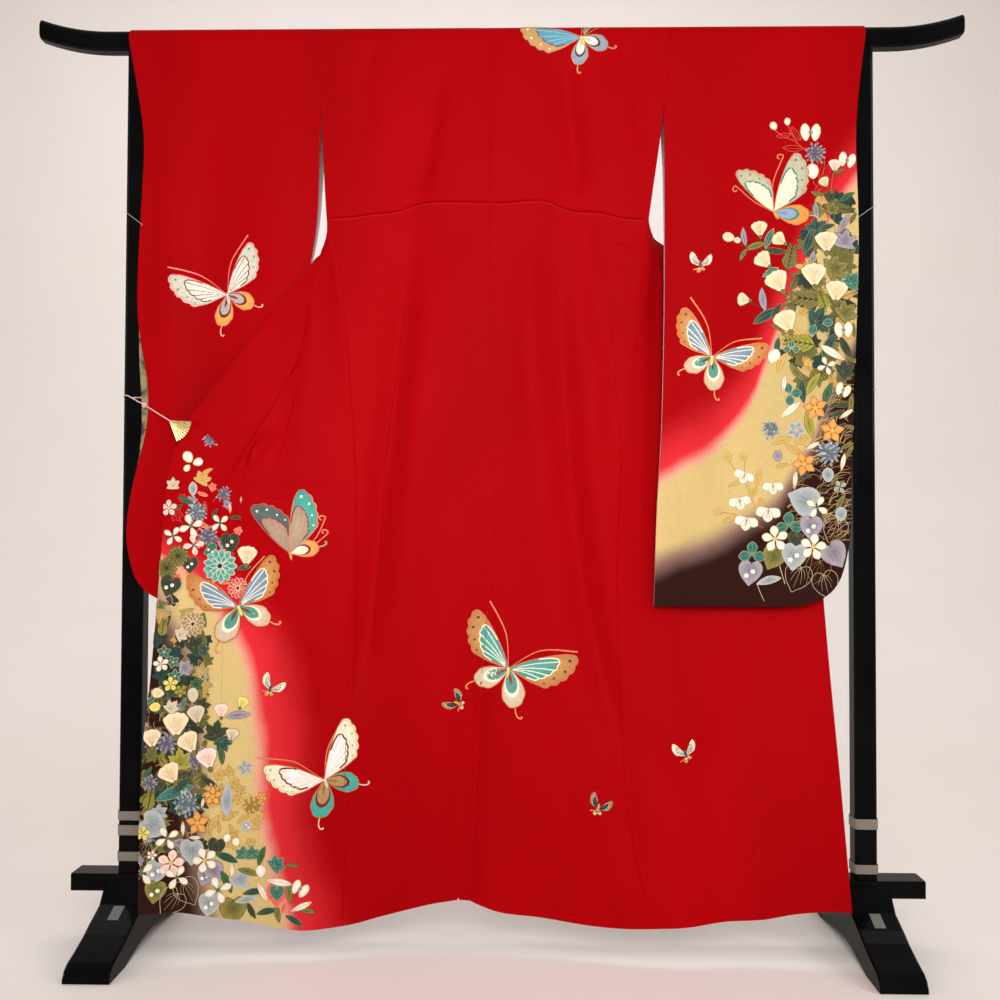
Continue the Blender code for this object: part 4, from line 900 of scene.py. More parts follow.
print("inks:", len(INKS))

# %% [markdown]
# A few petal and leaf forms, each worked out from a length, a width and where it is widest, make
# every plant in the design. They are kept general on purpose: the dyer's own strokes belong to
# the dyer, while a five-petalled flower or a heart-shaped leaf is anyone's.

# %% Petals and simple flowers
LINE = 0.9 * MM


def petal_form(width=0.5, widest=0.6, count=9, fullness=0.75):
    """A petal of length 1, from its base at 0, 0; a low fullness makes its ends round."""
    t = (1 - np.cos(np.linspace(0, np.pi, count + 2))) / 2
    bulge = np.sin(np.pi * t ** (math.log(0.5) / math.log(widest))).clip(0)
    upper = np.stack([t, width / 2 * bulge ** fullness], axis=1)
    return np.concatenate([upper, upper[-2:0:-1] * (1, -1)])


def painted(art, form, tone, line=LINE):
    """A filled form with its line, or the line alone where the tone has no fill."""
    inner, edge, rim = INKS[tone]
    if inner is not None:
        art.fill(form, inner, edge)
    art.stroke(form, line, rim, closed=True, slot=1, step=0.0026)


def vein(art, path, colour, width=0.7, end=None):
    """A fine line inside a form; a tone's name stands for the colour of its line."""
    colour = INKS[colour][2] if isinstance(colour, str) else colour
    art.stroke(path, width * MM, colour, end and end * MM, slot=1)


def disc(art, place, radius, colour):
    art.fill([off(place, a, radius) for a in range(0, 360, 36)], colour)


def flower(art, place, size, angle, tone, petals=5, width=0.70, widest=0.62,
           heart=(226, 186, 80), stamens=5, fullness=0.7):
    radius = size * MM / 2
    form = petal_form(width, widest, fullness=fullness)
    for turn in (angle + 360 * n / petals for n in range(petals)):
        painted(art, placed(form, off(place, turn, radius * 0.08), radius * 0.92, turn), tone)
    disc(art, place, radius * 0.16, ink(*heart))
    for turn in (angle + 30 + 360 * n / stamens for n in range(stamens)):
        vein(art, [off(place, turn, radius * 0.14), off(place, turn, radius * 0.42)], DARK)


def four(art, place, size, angle, tone):
    """A small flower of four narrow petals with a green middle."""
    flower(art, place, size, angle, tone, petals=4, width=0.58, heart=(70, 120, 90), stamens=4)


def star(art, place, size, angle, tone):
    """A five-pointed bellflower."""
    flower(art, place, size, angle, tone, petals=5, width=0.66, widest=0.42, fullness=1.1)


def twin(art, place, size, angle, tone):
    """Two broad petals side by side."""
    length = size * MM
    form = petal_form(0.54, 0.55, fullness=0.5)
    for side in (-1, 1):
        base = off(place, angle + 90, side * length * 0.24) - way(angle, length * 0.5)
        painted(art, placed(form, base, length, angle + side * 6), tone)
        inner = off(place, angle + 90, side * length * 0.10)
        vein(art, [off(inner, angle, -length * 0.14), off(inner, angle, length * 0.10)], DARK)
    disc(art, place, length * 0.09, ink(120, 140, 90))


def bud(art, place, size, angle, tone, width=0.55, fullness=0.75):
    form = petal_form(width, 0.55, fullness=fullness)
    painted(art, placed(form, off(place, angle, -size * MM / 2), size * MM, angle), tone)


def drop(art, place, size, angle, tone):
    """A round bud."""
    bud(art, place, size, angle, tone, 0.80, 0.5)


def lily(art, place, size, angle, tone):
    """An open flower of three broad petals with long stamens."""
    radius = size * MM / 2
    form = petal_form(0.74, 0.60)
    for turn in (-62, 62, 0):
        base = off(place, angle, -radius * 0.5)
        painted(art, placed(form, base, radius * 1.25, angle + turn), tone)
    for turn in (-26, 0, 26):
        tips = [off(place, angle, -radius * 0.4), off(place, angle + turn, radius * 0.4)]
        vein(art, tips, DARK)


def pod(art, place, size, angle, tone):
    """A slim bud with a line down its middle."""
    bud(art, place, size, angle, tone, 0.26)
    tips = [off(place, angle, size * MM * share) for share in (-0.42, 0.42)]
    art.stroke(tips, 0.8 * MM, CRIMSON_LINE, 0.4 * MM)


FAN = [(0.0, 0.08), (0.22, 0.27), (0.50, 0.46), (0.72, 0.53), (0.84, 0.40), (0.93, 0.30),
       (0.94, 0.10), (0.99, -0.03), (0.94, -0.16), (0.92, -0.33), (0.82, -0.43), (0.70, -0.53),
       (0.48, -0.45), (0.22, -0.26), (0.0, -0.08)]


def fan(art, place, size, angle, tone):
    """A trumpet flower seen from the side, with its green cup."""
    length = size * MM
    base = off(place, angle, -length * 0.45)
    painted(art, placed(rounded(FAN, each=3), base, length, angle), tone)
    for turn in (-26, -9, 9, 26):
        near, far = off(base, angle + turn * 0.4, length * 0.15), length * 0.72
        vein(art, [near, off(base, angle + turn, far)], tone, 0.6, 0.3)
    bud(art, off(base, angle, -length * 0.06), size * 0.30, angle, "olive", 0.8)


print("forms:", len(petal_form()), "points a petal")

# %% Leaves
HEART = [(0.07, 0.0), (-0.04, 0.20), (0.08, 0.42), (0.36, 0.49), (0.68, 0.34), (0.90, 0.12),
         (1.02, 0.0), (0.90, -0.12), (0.68, -0.34), (0.36, -0.49), (0.08, -0.42), (-0.04, -0.20)]
# Angle and reach of each corner along one side of a vine leaf
LOBES = [(0, 1.0), (9, 0.80), (14, 0.82), (24, 0.56), (36, 0.74), (48, 0.92), (56, 0.72),
         (64, 0.72), (78, 0.46), (92, 0.60), (104, 0.72), (116, 0.56), (136, 0.40), (162, 0.30)]


def heart_leaf(art, place, size, angle, tone, dots=0, veins=5):
    """A heart-shaped leaf, its notch at the stem."""
    length = size * MM
    base = off(place, angle, -length * 0.48)
    painted(art, placed(rounded(HEART, each=3), base, length, angle), tone)
    for n in range(veins):
        turn = (n - (veins - 1) / 2) * 64 / (veins - 1)
        reach = length * (0.86 - 0.36 * abs(turn) / 32)
        path = [off(base, angle, length * 0.08), off(base, angle + turn * 1.25, reach * 0.55),
                off(base, angle + turn, reach)]
        vein(art, rounded(path, False, 4), tone, end=0.3)
    for n in range(dots):
        at = off(base, angle + 14 - 26 * n, length * (0.42 + 0.2 * n))
        disc(art, at, length * 0.095, WHITE_DOT)


def round_leaf(art, place, size, angle, tone):
    heart_leaf(art, place, size, angle, tone, dots=2, veins=4)


def long_leaf(art, place, size, angle, tone, width=0.30, bend=0.16):
    """A blade that curves a little, with a line down its middle."""
    t = np.linspace(-0.5, 0.5, 9)
    spine = np.stack([t, bend * (0.25 - t * t)], axis=1)
    half = np.stack([0 * t, width / 2 * np.cos(np.pi * t) ** 0.8], axis=1)
    form = np.concatenate([spine + half, (spine - half)[-2:0:-1]])
    painted(art, placed(form, place, size * MM, angle), tone)
    vein(art, placed(spine[1:-1], place, size * MM, angle), tone, end=0.3)


def lobed_form(base, size, angle):
    """The outline of a vine leaf: five pointed lobes, the first the longest."""
    radius = size * MM * 0.62
    return ([off(base, angle + turn, radius * far) for turn, far in LOBES]
            + [off(base, angle - turn, radius * far) for turn, far in LOBES[:0:-1]])


def lobed_leaf(art, place, size, angle, tone):
    """A vine leaf with a vein to each lobe."""
    radius = size * MM * 0.62
    base = off(place, angle, -radius * 0.25)
    painted(art, lobed_form(base, size, angle), tone)
    for turn, far in ((0, 0.86), (48, 0.76), (-48, 0.76), (104, 0.56), (-104, 0.56)):
        vein(art, [base, off(base, angle + turn, radius * far)], tone, end=0.3)


def leaf_ground(art, place, size, angle, tone):
    """A dark plain leaf without a line, for the depth of a thicket."""
    inner, edge, _ = INKS[tone]
    art.fill(lobed_form(place, size, angle), inner, tuple(v * 0.6 for v in edge))


def three_leaf(art, place, size, angle, tone):
    """Three round leaflets on one stem, as bush clover has them."""
    for turn in (-100, 0, 100):
        at = off(place, angle + turn, size * MM * 0.27)
        bud(art, at, size * 0.50, angle + turn, tone, 0.8)
        vein(art, [np.asarray(place), off(at, angle + turn, size * MM * 0.15)], tone, 0.6)


def drop_leaf(art, place, size, angle, tone):
    """A short round leaflet with a vein."""
    bud(art, place, size, angle, tone, 0.72)
    vein(art, [off(place, angle, size * MM * share) for share in (-0.4, 0.4)], tone, 0.6)


def fern(art, place, size, angle, tone, pairs=6):
    """A stem with short leaflets in pairs."""
    length = size * MM
    foot = off(place, angle, -length / 2)
    vein(art, [foot, off(foot, angle, length)], tone, 0.8, 0.4)
    for n in range(pairs):
        at = off(foot, angle, length * (0.16 + 0.74 * n / pairs))
        reach = size * (0.36 - 0.035 * n)
        for turn in (angle - 38, angle + 38):
            bud(art, off(at, turn, reach * MM * 0.5), reach, turn, tone, 0.32)


def mum(art, place, size, angle, tone, petals=13):
    """A chrysanthemum: two rings of narrow petals round a dark middle."""
    length = size * MM
    form = petal_form(0.42, 0.68, 6)
    for offset, share, count in ((0, 1.0, petals), (0.5, 0.62, petals - 4)):
        for turn in (angle + 360 * (n + offset) / count for n in range(count)):
            base = off(place, turn, length * 0.04)
            painted(art, placed(form, base, length * 0.46 * share, turn), tone, 0.8 * MM)
    disc(art, place, length * 0.07, DARK)


def cluster(art, place, size, angle, tone, count=26):
    """A round head of many small florets."""
    dice = random.Random(size * 100 + angle)
    length = size * MM
    form = petal_form(0.6, 0.6, 4)
    inner, edge, _ = INKS[tone]
    disc(art, place, length * 0.40, tuple(v * 0.55 for v in inner))
    for n in range(count):
        turn = n * 137.5 + angle
        at = off(place, turn, length * 0.44 * math.sqrt((n + 0.5) / count))
        floret = placed(form, at, length * dice.uniform(0.15, 0.23), turn + dice.uniform(-40, 40))
        light = dice.random()
        art.fill(floret, tuple(a * (1 - light) + b * light for a, b in zip(inner, edge)))
    for n in range(count // 3):
        at = off(place, n * 137.5, length * 0.36 * math.sqrt(n / count * 3))
        vein(art, [at, off(at, n * 70, length * 0.10)], tone, 0.6)


def blade(art, place, size, angle, tone):
    """One curved stroke of grass."""
    path = [off(place, angle, -size * MM / 2), off(place, angle + 90, size * MM * 0.16),
            off(place, angle, size * MM / 2)]
    vein(art, rounded(path, False, 4), tone, 0.9, 0.4)


def inside(point, corners):
    """True where a point lies within a polygon."""
    within = False
    for (xa, za), (xb, zb) in zip(corners, corners[1:] + corners[:1]):
        if ((za > point[1]) != (zb > point[1])
                and point[0] < (xb - xa) * (point[1] - za) / (zb - za) + xa):
            within = not within
    return within


def strewn(art, corners, count, makers, seed):
    """Small leaves or strokes, scattered over an area as its undergrowth."""
    dice = random.Random(seed)
    (x0, z0), (x1, z1) = np.min(corners, axis=0), np.max(corners, axis=0)
    done = 0
    while done < count:
        at = (dice.uniform(x0, x1), dice.uniform(z0, z1))
        if inside(at, corners):
            maker, low, high, turn, spread, tones = makers[done % len(makers)]
            size = dice.uniform(low, high)
            angle = turn + dice.uniform(-spread, spread)
            maker(art, at, size, angle, dice.choice(tones.split(", ")))
            done += 1


print("leaves: heart, round, long, vine, three, fern")

# %% [markdown]
# Every butterfly is built from one forewing and one hindwing form. A wing has a leading edge that
# sweeps out to the tip and an outer edge with shallow scallops; inside lies the same form, smaller,
# split by veins. How each wing is turned decides whether the butterfly is seen from above, in
# flight, or with its wings raised.

# %% Butterflies
LEADING = [(0.0, 0.0), (0.16, 0.050), (0.36, 0.092), (0.58, 0.120), (0.80, 0.128), (0.93, 0.112),
           (1.0, 0.088)]
OUTER = [(1.0, 0.088), (0.992, -0.005), (0.945, -0.090), (0.870, -0.165), (0.78, -0.225),
         (0.67, -0.272), (0.55, -0.300), (0.44, -0.300)]
TRAILING = [(0.44, -0.300), (0.29, -0.220), (0.14, -0.105), (0.0, 0.0)]
HIND = [(0.0, 0.0), (0.18, 0.15), (0.44, 0.27), (0.70, 0.29), (0.91, 0.17), (1.0, -0.01),
        (0.93, -0.18), (0.73, -0.28), (0.45, -0.25), (0.20, -0.13)]
TAIL = [(0.94, 0.0), (1.12, -0.03), (1.26, 0.0), (1.31, 0.07), (1.26, 0.11)]
SCALLOP = 0.030


def forewing_form():
    lead = rounded(LEADING, False, 5)
    outer = respaced(rounded(OUTER, False, 6), 0.03)
    run = np.linspace(0, 1, len(outer))
    beside = np.gradient(outer, axis=0)[:, ::-1] * (1, -1)
    beside /= np.linalg.norm(beside, axis=1)[:, None]
    outer = outer - beside * (SCALLOP * np.abs(np.sin(run * math.pi * 5)))[:, None]
    whole = [lead[:-1], outer[:-1], rounded(TRAILING, False, 4)[:-1]]
    return np.concatenate(whole), len(lead) - 1, len(outer)


def hindwing_form():
    whole = respaced(rounded(HIND, each=8), 0.03, True)
    middle = whole.mean(axis=0)
    run = np.linspace(0, 1, len(whole), endpoint=False)
    swell = 0.055 * np.abs(np.sin(run * math.pi * 8)) * soft_step(whole[:, 0], 0.3, 0.6)
    return middle + (whole - middle) * (0.98 + swell)[:, None]


WING, LEAD_COUNT, OUTER_COUNT = forewing_form()
HIND_WING = hindwing_form()


def forewing(art, root, size, angle, flip, look):
    """A forewing: band with dots, inner field with veins, and its lines."""
    def spread(form):
        return placed(form, root, size * MM, angle, flip)

    def along_edge(line, share):
        return line[LEAD_COUNT + int(share * (OUTER_COUNT - 1))]

    length = size * MM
    whole = spread(WING)
    field = spread(WING * (0.74, 0.66) + (0.0, 0.012))
    art.fill(whole, look["band"], look["tip"])
    art.fill(field, look["cell"], look["cell edge"])
    border = field[LEAD_COUNT - 14:LEAD_COUNT + OUTER_COUNT + 3]
    art.stroke(border, look.get("border width", 2.2) * MM, look["border"])
    for share in (0.10, 0.34, 0.58, 0.82):
        end = along_edge(field, share)
        start = np.asarray(root) + (end - root) * 0.12
        bend = off((start + end) / 2, angle + (-90 if flip else 90), length * 0.018)
        path = rounded([start, bend, end], False, 4)
        art.stroke(path, look.get("vein width", 1.2) * MM, look["vein"], 2.0 * MM)
    for n, share in enumerate((0.08, 0.34, 0.60, 0.86)):
        at = along_edge(whole, share) * 0.55 + along_edge(field, share) * 0.45
        disc(art, at, length * (0.024 - 0.003 * n), look["dot"])
    if size > 60:
        inner = spread(WING * (0.955, 0.91) + (0.012, 0.004))
        inner = inner[LEAD_COUNT - 6:LEAD_COUNT + OUTER_COUNT]
        art.stroke(inner, 0.8 * MM, look["line"], step=0.004)
    art.stroke(whole, look.get("line width", 1.5) * MM, look["line"], closed=True, slot=1,
               step=0.003)


def hindwing(art, root, size, angle, flip, look):
    """A hindwing: field, inner drop, and on a large one a short curled tail."""
    length = size * MM
    if size > 40:
        tail = rounded(placed(TAIL, root, length, angle, flip), False, 5)
        art.stroke(tail, 2.0 * MM, look["line"], 3.6 * MM, slot=1)
        art.stroke(tail, 0.8 * MM, look["band"], 1.8 * MM)
    whole = placed(HIND_WING, root, length, angle, flip)
    art.fill(whole, look["hind"], look["hind edge"])
    for shrink, part in (((0.74, 0.66), "border"), ((0.64, 0.52), "drop")):
        art.fill(placed(rounded(HIND, each=3) * shrink, root, length, angle, flip), look[part])
    art.fill(placed(petal_form(0.20, 0.6), root, length * 0.42, angle, flip), look["core"])
    art.stroke(whole, look.get("line width", 1.4) * MM, look["line"], closed=True, slot=1,
               step=0.003)


def feeler(art, root, tip, bend, curl, look):
    """An antenna: a tapering stroke that may end in a curl."""
    root, tip = np.asarray(root, float), np.asarray(tip, float)
    along = tip - root
    path = [root, root + along * 0.5 + np.array([-along[1], along[0]]) * bend, tip]
    if curl:
        heading = math.degrees(math.atan2(*(tip - path[1])[::-1]))
        for n in range(1, 7):
            heading += curl * 48
            path.append(off(path[-1], heading, 5.2 * MM * (1 - 0.09 * n)))
    curve = rounded(path, False, 5)
    art.stroke(curve, 1.4 * MM, look["line"], 3.0 * MM, slot=1)
    art.stroke(curve[3:], 0.5 * MM, look["feeler"], 1.4 * MM)


def butterfly(art, root, look, wings, feelers, body_angle, body_size):
    """One butterfly: feelers first, then its wings in the order given, and its body on top."""
    for tip, bend, curl in feelers:
        feeler(art, root, tip, bend, curl, look)
    for wing, angle, size, flip in wings:
        wing(art, root, size, angle, flip, look)
    body = off(root, body_angle, body_size * MM * 0.32)
    bud(art, body, body_size, body_angle, look["body"], 0.30)
    disc(art, root, 2.6 * MM, INKS[look["body"]][1])


def small_butterfly(art, place, size, angle, look):
    """A butterfly a thumb wide: two raised wings, a hindwing and a body."""
    root = off(place, angle, -size * MM * 0.22)
    wings = [(hindwing, angle + 165, size * 0.30, False),
             (hindwing, angle + 232, size * 0.26, True),
             (forewing, angle - 38, size * 0.72, False),
             (forewing, angle + 38, size * 0.76, True)]
    antenna = (off(root, angle + 120, size * MM * 0.34), 0.1, 0)
    butterfly(art, root, look, wings, [antenna], angle + 10, size * 0.34)


def look_of(**chart):
    """Chart colours as inks; names and widths in millimetres stay as they are."""
    return {part.replace("_", " "): ink(*value) if isinstance(value, tuple) else value
            for part, value in chart.items()}


print("wing:", len(WING), "points, outer edge", OUTER_COUNT)

LOOKS = {
    "orange": look_of(
        band=(226, 166, 100), tip=(190, 118, 58), cell=(138, 158, 176), cell_edge=(120, 138, 160),
        border=(246, 236, 208), vein=(246, 236, 208), dot=(112, 52, 32), hind=(222, 200, 164),
        hind_edge=(206, 182, 150), drop=(84, 150, 128), core=(120, 60, 48), line=(206, 104, 48),
        feeler=(244, 150, 96), body="yellow"),
    "teal cells": look_of(
        band=(220, 156, 88), tip=(176, 122, 72), cell=(96, 176, 160), cell_edge=(70, 146, 138),
        border=(248, 238, 208), vein=(248, 238, 208), dot=(92, 50, 30), hind=(222, 206, 172),
        hind_edge=(206, 186, 150), drop=(96, 150, 138), core=(140, 66, 50), line=(214, 108, 66),
        feeler=(240, 140, 100), body="yellow"),
    "white": look_of(
        band=(226, 212, 178), tip=(200, 206, 186), cell=(252, 240, 226),
        cell_edge=(246, 226, 210), border=(122, 40, 36), border_width=2.0, vein=(150, 118, 100),
        vein_width=0.5, dot=(126, 150, 136), hind=(236, 176, 90), hind_edge=(224, 158, 76),
        drop=(186, 174, 170), core=(140, 52, 50), line=(232, 96, 84), feeler=(248, 150, 130),
        body="beige"),
    "pale": look_of(
        band=(206, 192, 158), tip=(184, 186, 160), cell=(246, 240, 214),
        cell_edge=(236, 230, 200), border=(74, 140, 128), border_width=3.2, vein=(230, 218, 180),
        vein_width=0.7, dot=(140, 126, 104), hind=(240, 166, 66), hind_edge=(226, 140, 56),
        drop=(150, 166, 190), core=(130, 146, 176), line=(196, 100, 54), feeler=(240, 130, 100),
        body="orange"),
    "spotted": look_of(
        band=(82, 186, 166), tip=(60, 152, 140), cell=(190, 162, 132), cell_edge=(172, 140, 116),
        border=(146, 34, 36), border_width=2.2, vein=(176, 144, 118), vein_width=0.7,
        dot=(250, 240, 214), hind=(240, 176, 100), hind_edge=(226, 150, 80), drop=(248, 232, 196),
        core=(250, 238, 210), line=(206, 104, 60), feeler=(240, 130, 100), body="orange"),
    "dusk": look_of(
        band=(96, 114, 108), tip=(72, 92, 90), cell=(186, 158, 130), cell_edge=(166, 136, 112),
        border=(146, 34, 36), border_width=2.2, vein=(170, 140, 116), vein_width=0.7,
        dot=(246, 236, 212), hind=(240, 176, 100), hind_edge=(226, 150, 80), drop=(248, 232, 196),
        core=(250, 238, 210), line=(170, 92, 60), feeler=(240, 130, 100), body="orange"),
    "small white": look_of(
        band=(250, 240, 222), tip=(244, 226, 200), cell=(254, 250, 240),
        cell_edge=(248, 238, 224), border=(90, 70, 60), border_width=0.5, vein=(150, 130, 110),
        vein_width=0.3, dot=(70, 60, 60), hind=(236, 160, 76), hind_edge=(222, 140, 60),
        drop=(244, 206, 130), core=(200, 110, 60), line=(206, 96, 52), line_width=0.6,
        feeler=(240, 130, 100), body="deep"),
    "small dusk": look_of(
        band=(196, 160, 130), tip=(150, 104, 80), cell=(60, 96, 92), cell_edge=(40, 66, 66),
        border=(244, 232, 206), border_width=0.5, vein=(40, 40, 40), vein_width=0.3,
        dot=(250, 240, 216), hind=(244, 214, 170), hind_edge=(230, 160, 84), drop=(70, 130, 118),
        core=(60, 40, 40), line=(196, 96, 56), line_width=0.6, feeler=(240, 130, 100),
        body="orange"),
    "blue": look_of(
        band=(192, 146, 92), tip=(204, 160, 104), cell=(88, 168, 176), cell_edge=(96, 150, 196),
        border=(104, 62, 48), border_width=1.8, vein=(150, 196, 190), vein_width=0.8,
        dot=(252, 230, 176), hind=(160, 174, 188), hind_edge=(140, 156, 174),
        drop=(244, 236, 214), core=(212, 206, 180), line=(206, 134, 80), feeler=(240, 150, 100),
        body="yellow"),
    "white teal": look_of(
        band=(232, 226, 204), tip=(238, 226, 190), cell=(254, 246, 238),
        cell_edge=(248, 232, 222), border=(118, 34, 32), border_width=2.8, vein=(226, 206, 196),
        vein_width=0.6, dot=(160, 172, 160), hind=(74, 180, 160), hind_edge=(58, 158, 142),
        drop=(176, 140, 84), core=(150, 112, 64), line=(206, 112, 66), feeler=(228, 130, 90),
        body="beige"),
}
print("looks:", len(LOOKS))

# %% [markdown]
# Across the back, at the waist, a tuck takes up the wearer's extra length. It reads as a soft lip
# of cloth with a row of tiny stitches under it, higher in the middle than at the sides. The lip is
# a low rounded strip in the cloth's own silk, and each stitch a short crowned stroke of thread.

# %% Waist tuck and stitches
TUCK = [
    (-0.3069, 1.3137), (-0.2675, 1.316), (-0.2381, 1.3201), (-0.1962, 1.3248), (-0.1746, 1.3293),
    (-0.1583, 1.3363), (-0.1327, 1.3423), (-0.09, 1.3432), (-0.028, 1.3415), (0.0139, 1.3413),
    (0.0685, 1.3455), (0.094, 1.3432), (0.1142, 1.3351), (0.1397, 1.3268), (0.1812, 1.3233),
    (0.2021, 1.3187), (0.2356, 1.3122), (0.2682, 1.31),
]
CENTRE_SEAM = [
    (-0.0129, 1.655), (-0.0123, 1.45), (-0.0119, 1.2), (-0.0116, 0.9), (-0.0124, 0.7),
    (-0.0147, 0.6), (-0.0232, 0.5), (-0.0302, 0.4), (-0.035, 0.3), (-0.0392, 0.2), (-0.0435, 0.1),
]
TUCK_SHADE = ink(112, 0, 3)
STITCH_RED = ink(214, 46, 42)
SEAM_SHADE = ink(134, 0, 3)
# A painted highlight and a painted shade, drawn along each pressed fold
FOLD_HIGHLIGHT_AND_SHADE = (ink(180, 2, 6), ink(150, 0, 3))
sewing = Patches("seams_and_tuck", (*BODIES, "okumi_left"), [seam_dye, thread])
tuck = respaced(rounded(TUCK, False, 4), 0.0042)
sewing.stroke(tuck + (0, 0.0030), 4.6 * MM, CRIMSON, crown=0.0010)
# A dark line painted along the lower edge of the lip stands for the lip's shadow
sewing.stroke(tuck, 1.4 * MM, TUCK_SHADE, over=True)
for a, b in zip(tuck, tuck[1:]):
    low = (a + b) / 2 - (0, 0.0040)
    half = (b - a) * 0.22
    sewing.stroke([low - half, low + half], 1.1 * MM, STITCH_RED, crown=0.0004, slot=1)
centre_seam = rounded(CENTRE_SEAM, False, 8)
sewing.stroke(centre_seam, 3.4 * MM, CRIMSON)
sewing.stroke(centre_seam, 0.9 * MM, SEAM_SHADE)

# Pressed folds: each is painted light and shade, a line with a darker one beside it
PRESSED = [
    [(-0.3041, 1.3027), (-0.29, 1.2173), (-0.2751, 1.106), (-0.2644, 0.989), (-0.2555, 0.8694),
     (-0.2496, 0.6902), (-0.2507, 0.4776)],
    [(0.2702, 1.3015), (0.2591, 1.1857), (0.2481, 1.0672)],
    [(0.2176, 1.2665), (0.2411, 1.261), (0.2665, 1.2629)],
    [(0.1035, 1.2332), (0.1091, 1.0898), (0.1239, 0.8879), (0.1532, 0.6911), (0.1811, 0.4602)],
    [(-0.1701, 1.1676), (-0.1812, 1.0544), (-0.1995, 0.8992), (-0.2119, 0.6918), (-0.2218, 0.53)],
    [(0.2015, 1.1519), (0.2122, 1.0167), (0.2228, 0.8733), (0.2152, 0.6916), (0.2183, 0.5138),
     (0.2302, 0.2726), (0.2599, 0.1046)],
    [(-0.2545, 0.7975), (-0.2533, 0.5482), (-0.2607, 0.3028), (-0.2688, 0.0596)],
    [(-0.2511, 0.8029), (-0.2965, 0.7972), (-0.3562, 0.7986), (-0.4162, 0.8018)],
    [(-0.3574, 1.0085), (-0.3763, 0.9222), (-0.4029, 0.8323)],
    [(-0.5484, 0.9611), (-0.5056, 0.997), (-0.4414, 1.0618), (-0.3737, 1.1337)],
    [(-0.4587, 0.9899), (-0.4905, 0.9325), (-0.5198, 0.8825)],
]
for corners in PRESSED:
    fold = rounded(corners, False, 8)
    sewing.stroke(fold, 2.2 * MM, FOLD_HIGHLIGHT_AND_SHADE[0], 1.2 * MM)
    sewing.stroke(fold + (0.0018, -0.0008), 1.6 * MM, FOLD_HIGHLIGHT_AND_SHADE[1], 0.9 * MM)
tuck_piece = sewing.make()

# %% [markdown]
# The right sleeve carries the richest part: a spray of autumn plants that climbs its outer edge
# and spreads over the gold and the brown below. Undergrowth is strewn first, then stems and
# leaves, and the flowers last, as the dyer builds from the ground up. A planting table says for
# each one its maker, its place (x, z), its size in millimetres, its angle and its tone.

# %% Reading a planting table
MAKERS = {maker.__name__: maker for maker in (
    long_leaf, lobed_leaf, heart_leaf, round_leaf, three_leaf, drop_leaf, fern, flower, four, star,
    twin, bud, drop, lily, pod, fan, mum, cluster)}


def planted(table):
    for row in table.split(";"):
        maker, x, z, size, angle, *tone = row.split()
        yield MAKERS[maker], (float(x), float(z)), int(size), int(angle), " ".join(tone)


print("makers:", len(MAKERS))

# %% Sleeve plants
art = Patches("sleeve_plants", ("sleeve_right",), DYES)
GREEN_EDGE = [
    (0.5692, 1.3341), (0.6153, 1.3606), (0.6456, 1.3493), (0.6432, 1.0159), (0.5453, 1.0016),
    (0.4953, 1.0664), (0.5248, 1.161), (0.547, 1.252),
]
strewn(art, GREEN_EDGE, 60, [(leaf_ground, 26, 40, 0, 180, "olive, dark, olive, deep")], 2)
strewn(art, GREEN_EDGE, 46, [(long_leaf, 22, 40, 60, 90, "gold, olive"),
                             (fern, 26, 44, 70, 80, "olive, gold"),
                             (lobed_leaf, 20, 34, 0, 180, "gold, olive, dark")], 3)
GRASS = [
    (0.6091, 1.005), (0.6392, 1.005), (0.6347, 0.72), (0.554, 0.7358), (0.5219, 0.7965),
    (0.5547, 0.8683), (0.5874, 0.9438),
]
strewn(art, GRASS, 230, [(blade, 16, 34, 20, 42, "gold line, brown line, pale line")], 5)
strewn(art, GRASS, 16, [(long_leaf, 24, 38, 40, 60, "dark, olive")], 6)

# Places along each stem, its tone, its width in mm
STEMS = [
    ([(0.5012, 1.4731), (0.5174, 1.4602), (0.5391, 1.4493), (0.5606, 1.4291)], "red line", 1.3),
    ([(0.5266, 1.4805), (0.532, 1.464), (0.5462, 1.442)], "red line", 1.3),
    ([(0.6067, 1.3936), (0.6029, 1.3608), (0.6062, 1.3206), (0.611, 1.2622)], "brown line", 1.2),
    ([(0.5695, 1.3762), (0.5905, 1.3429), (0.6026, 1.317)], "red line", 1.0),
    ([(0.4745, 1.2768), (0.4817, 1.2586), (0.5035, 1.2516), (0.5253, 1.2446)], "olive", 1.3),
    ([(0.4238, 1.2726), (0.4527, 1.2583), (0.4853, 1.2532)], "olive", 1.1),
    ([(0.4924, 1.2223), (0.5141, 1.2044), (0.5396, 1.212)], "olive", 1.2),
    ([(0.5466, 1.1792), (0.568, 1.161), (0.5891, 1.1499)], "dark", 1.4),
    ([(0.4522, 1.1584), (0.4811, 1.1478), (0.5211, 1.1464)], "olive", 1.1),
    ([(0.5855, 1.1318), (0.5957, 1.0882), (0.6094, 1.0375), (0.6195, 0.9798)], "dark", 1.3),
    ([(0.5197, 0.9725), (0.5344, 0.9943), (0.5474, 1.027)], "olive", 1.2),
    ([(0.4152, 0.875), (0.4276, 0.8535), (0.4435, 0.8356), (0.4576, 0.7998), (0.4716, 0.7641)],
     "gold", 1.3),
    ([(0.4454, 0.875), (0.4453, 0.8499), (0.4541, 0.8177)], "gold", 1.2),
    ([(0.401, 0.7782), (0.4241, 0.7747), (0.4505, 0.764), (0.4788, 0.7498)], "gold", 1.2),
    ([(0.5056, 0.7196), (0.5057, 0.6892), (0.5111, 0.6678), (0.5165, 0.65)], "pale line", 2.0),
    ([(0.4667, 0.6498), (0.4721, 0.6355), (0.4792, 0.6195)], "pale line", 1.4),
    ([(0.5719, 0.7287), (0.5647, 0.693), (0.5539, 0.6502)], "brown line", 1.2),
]
for path, tone, width in STEMS:
    vein(art, rounded(path, False, 5), tone, width, width * 0.6)

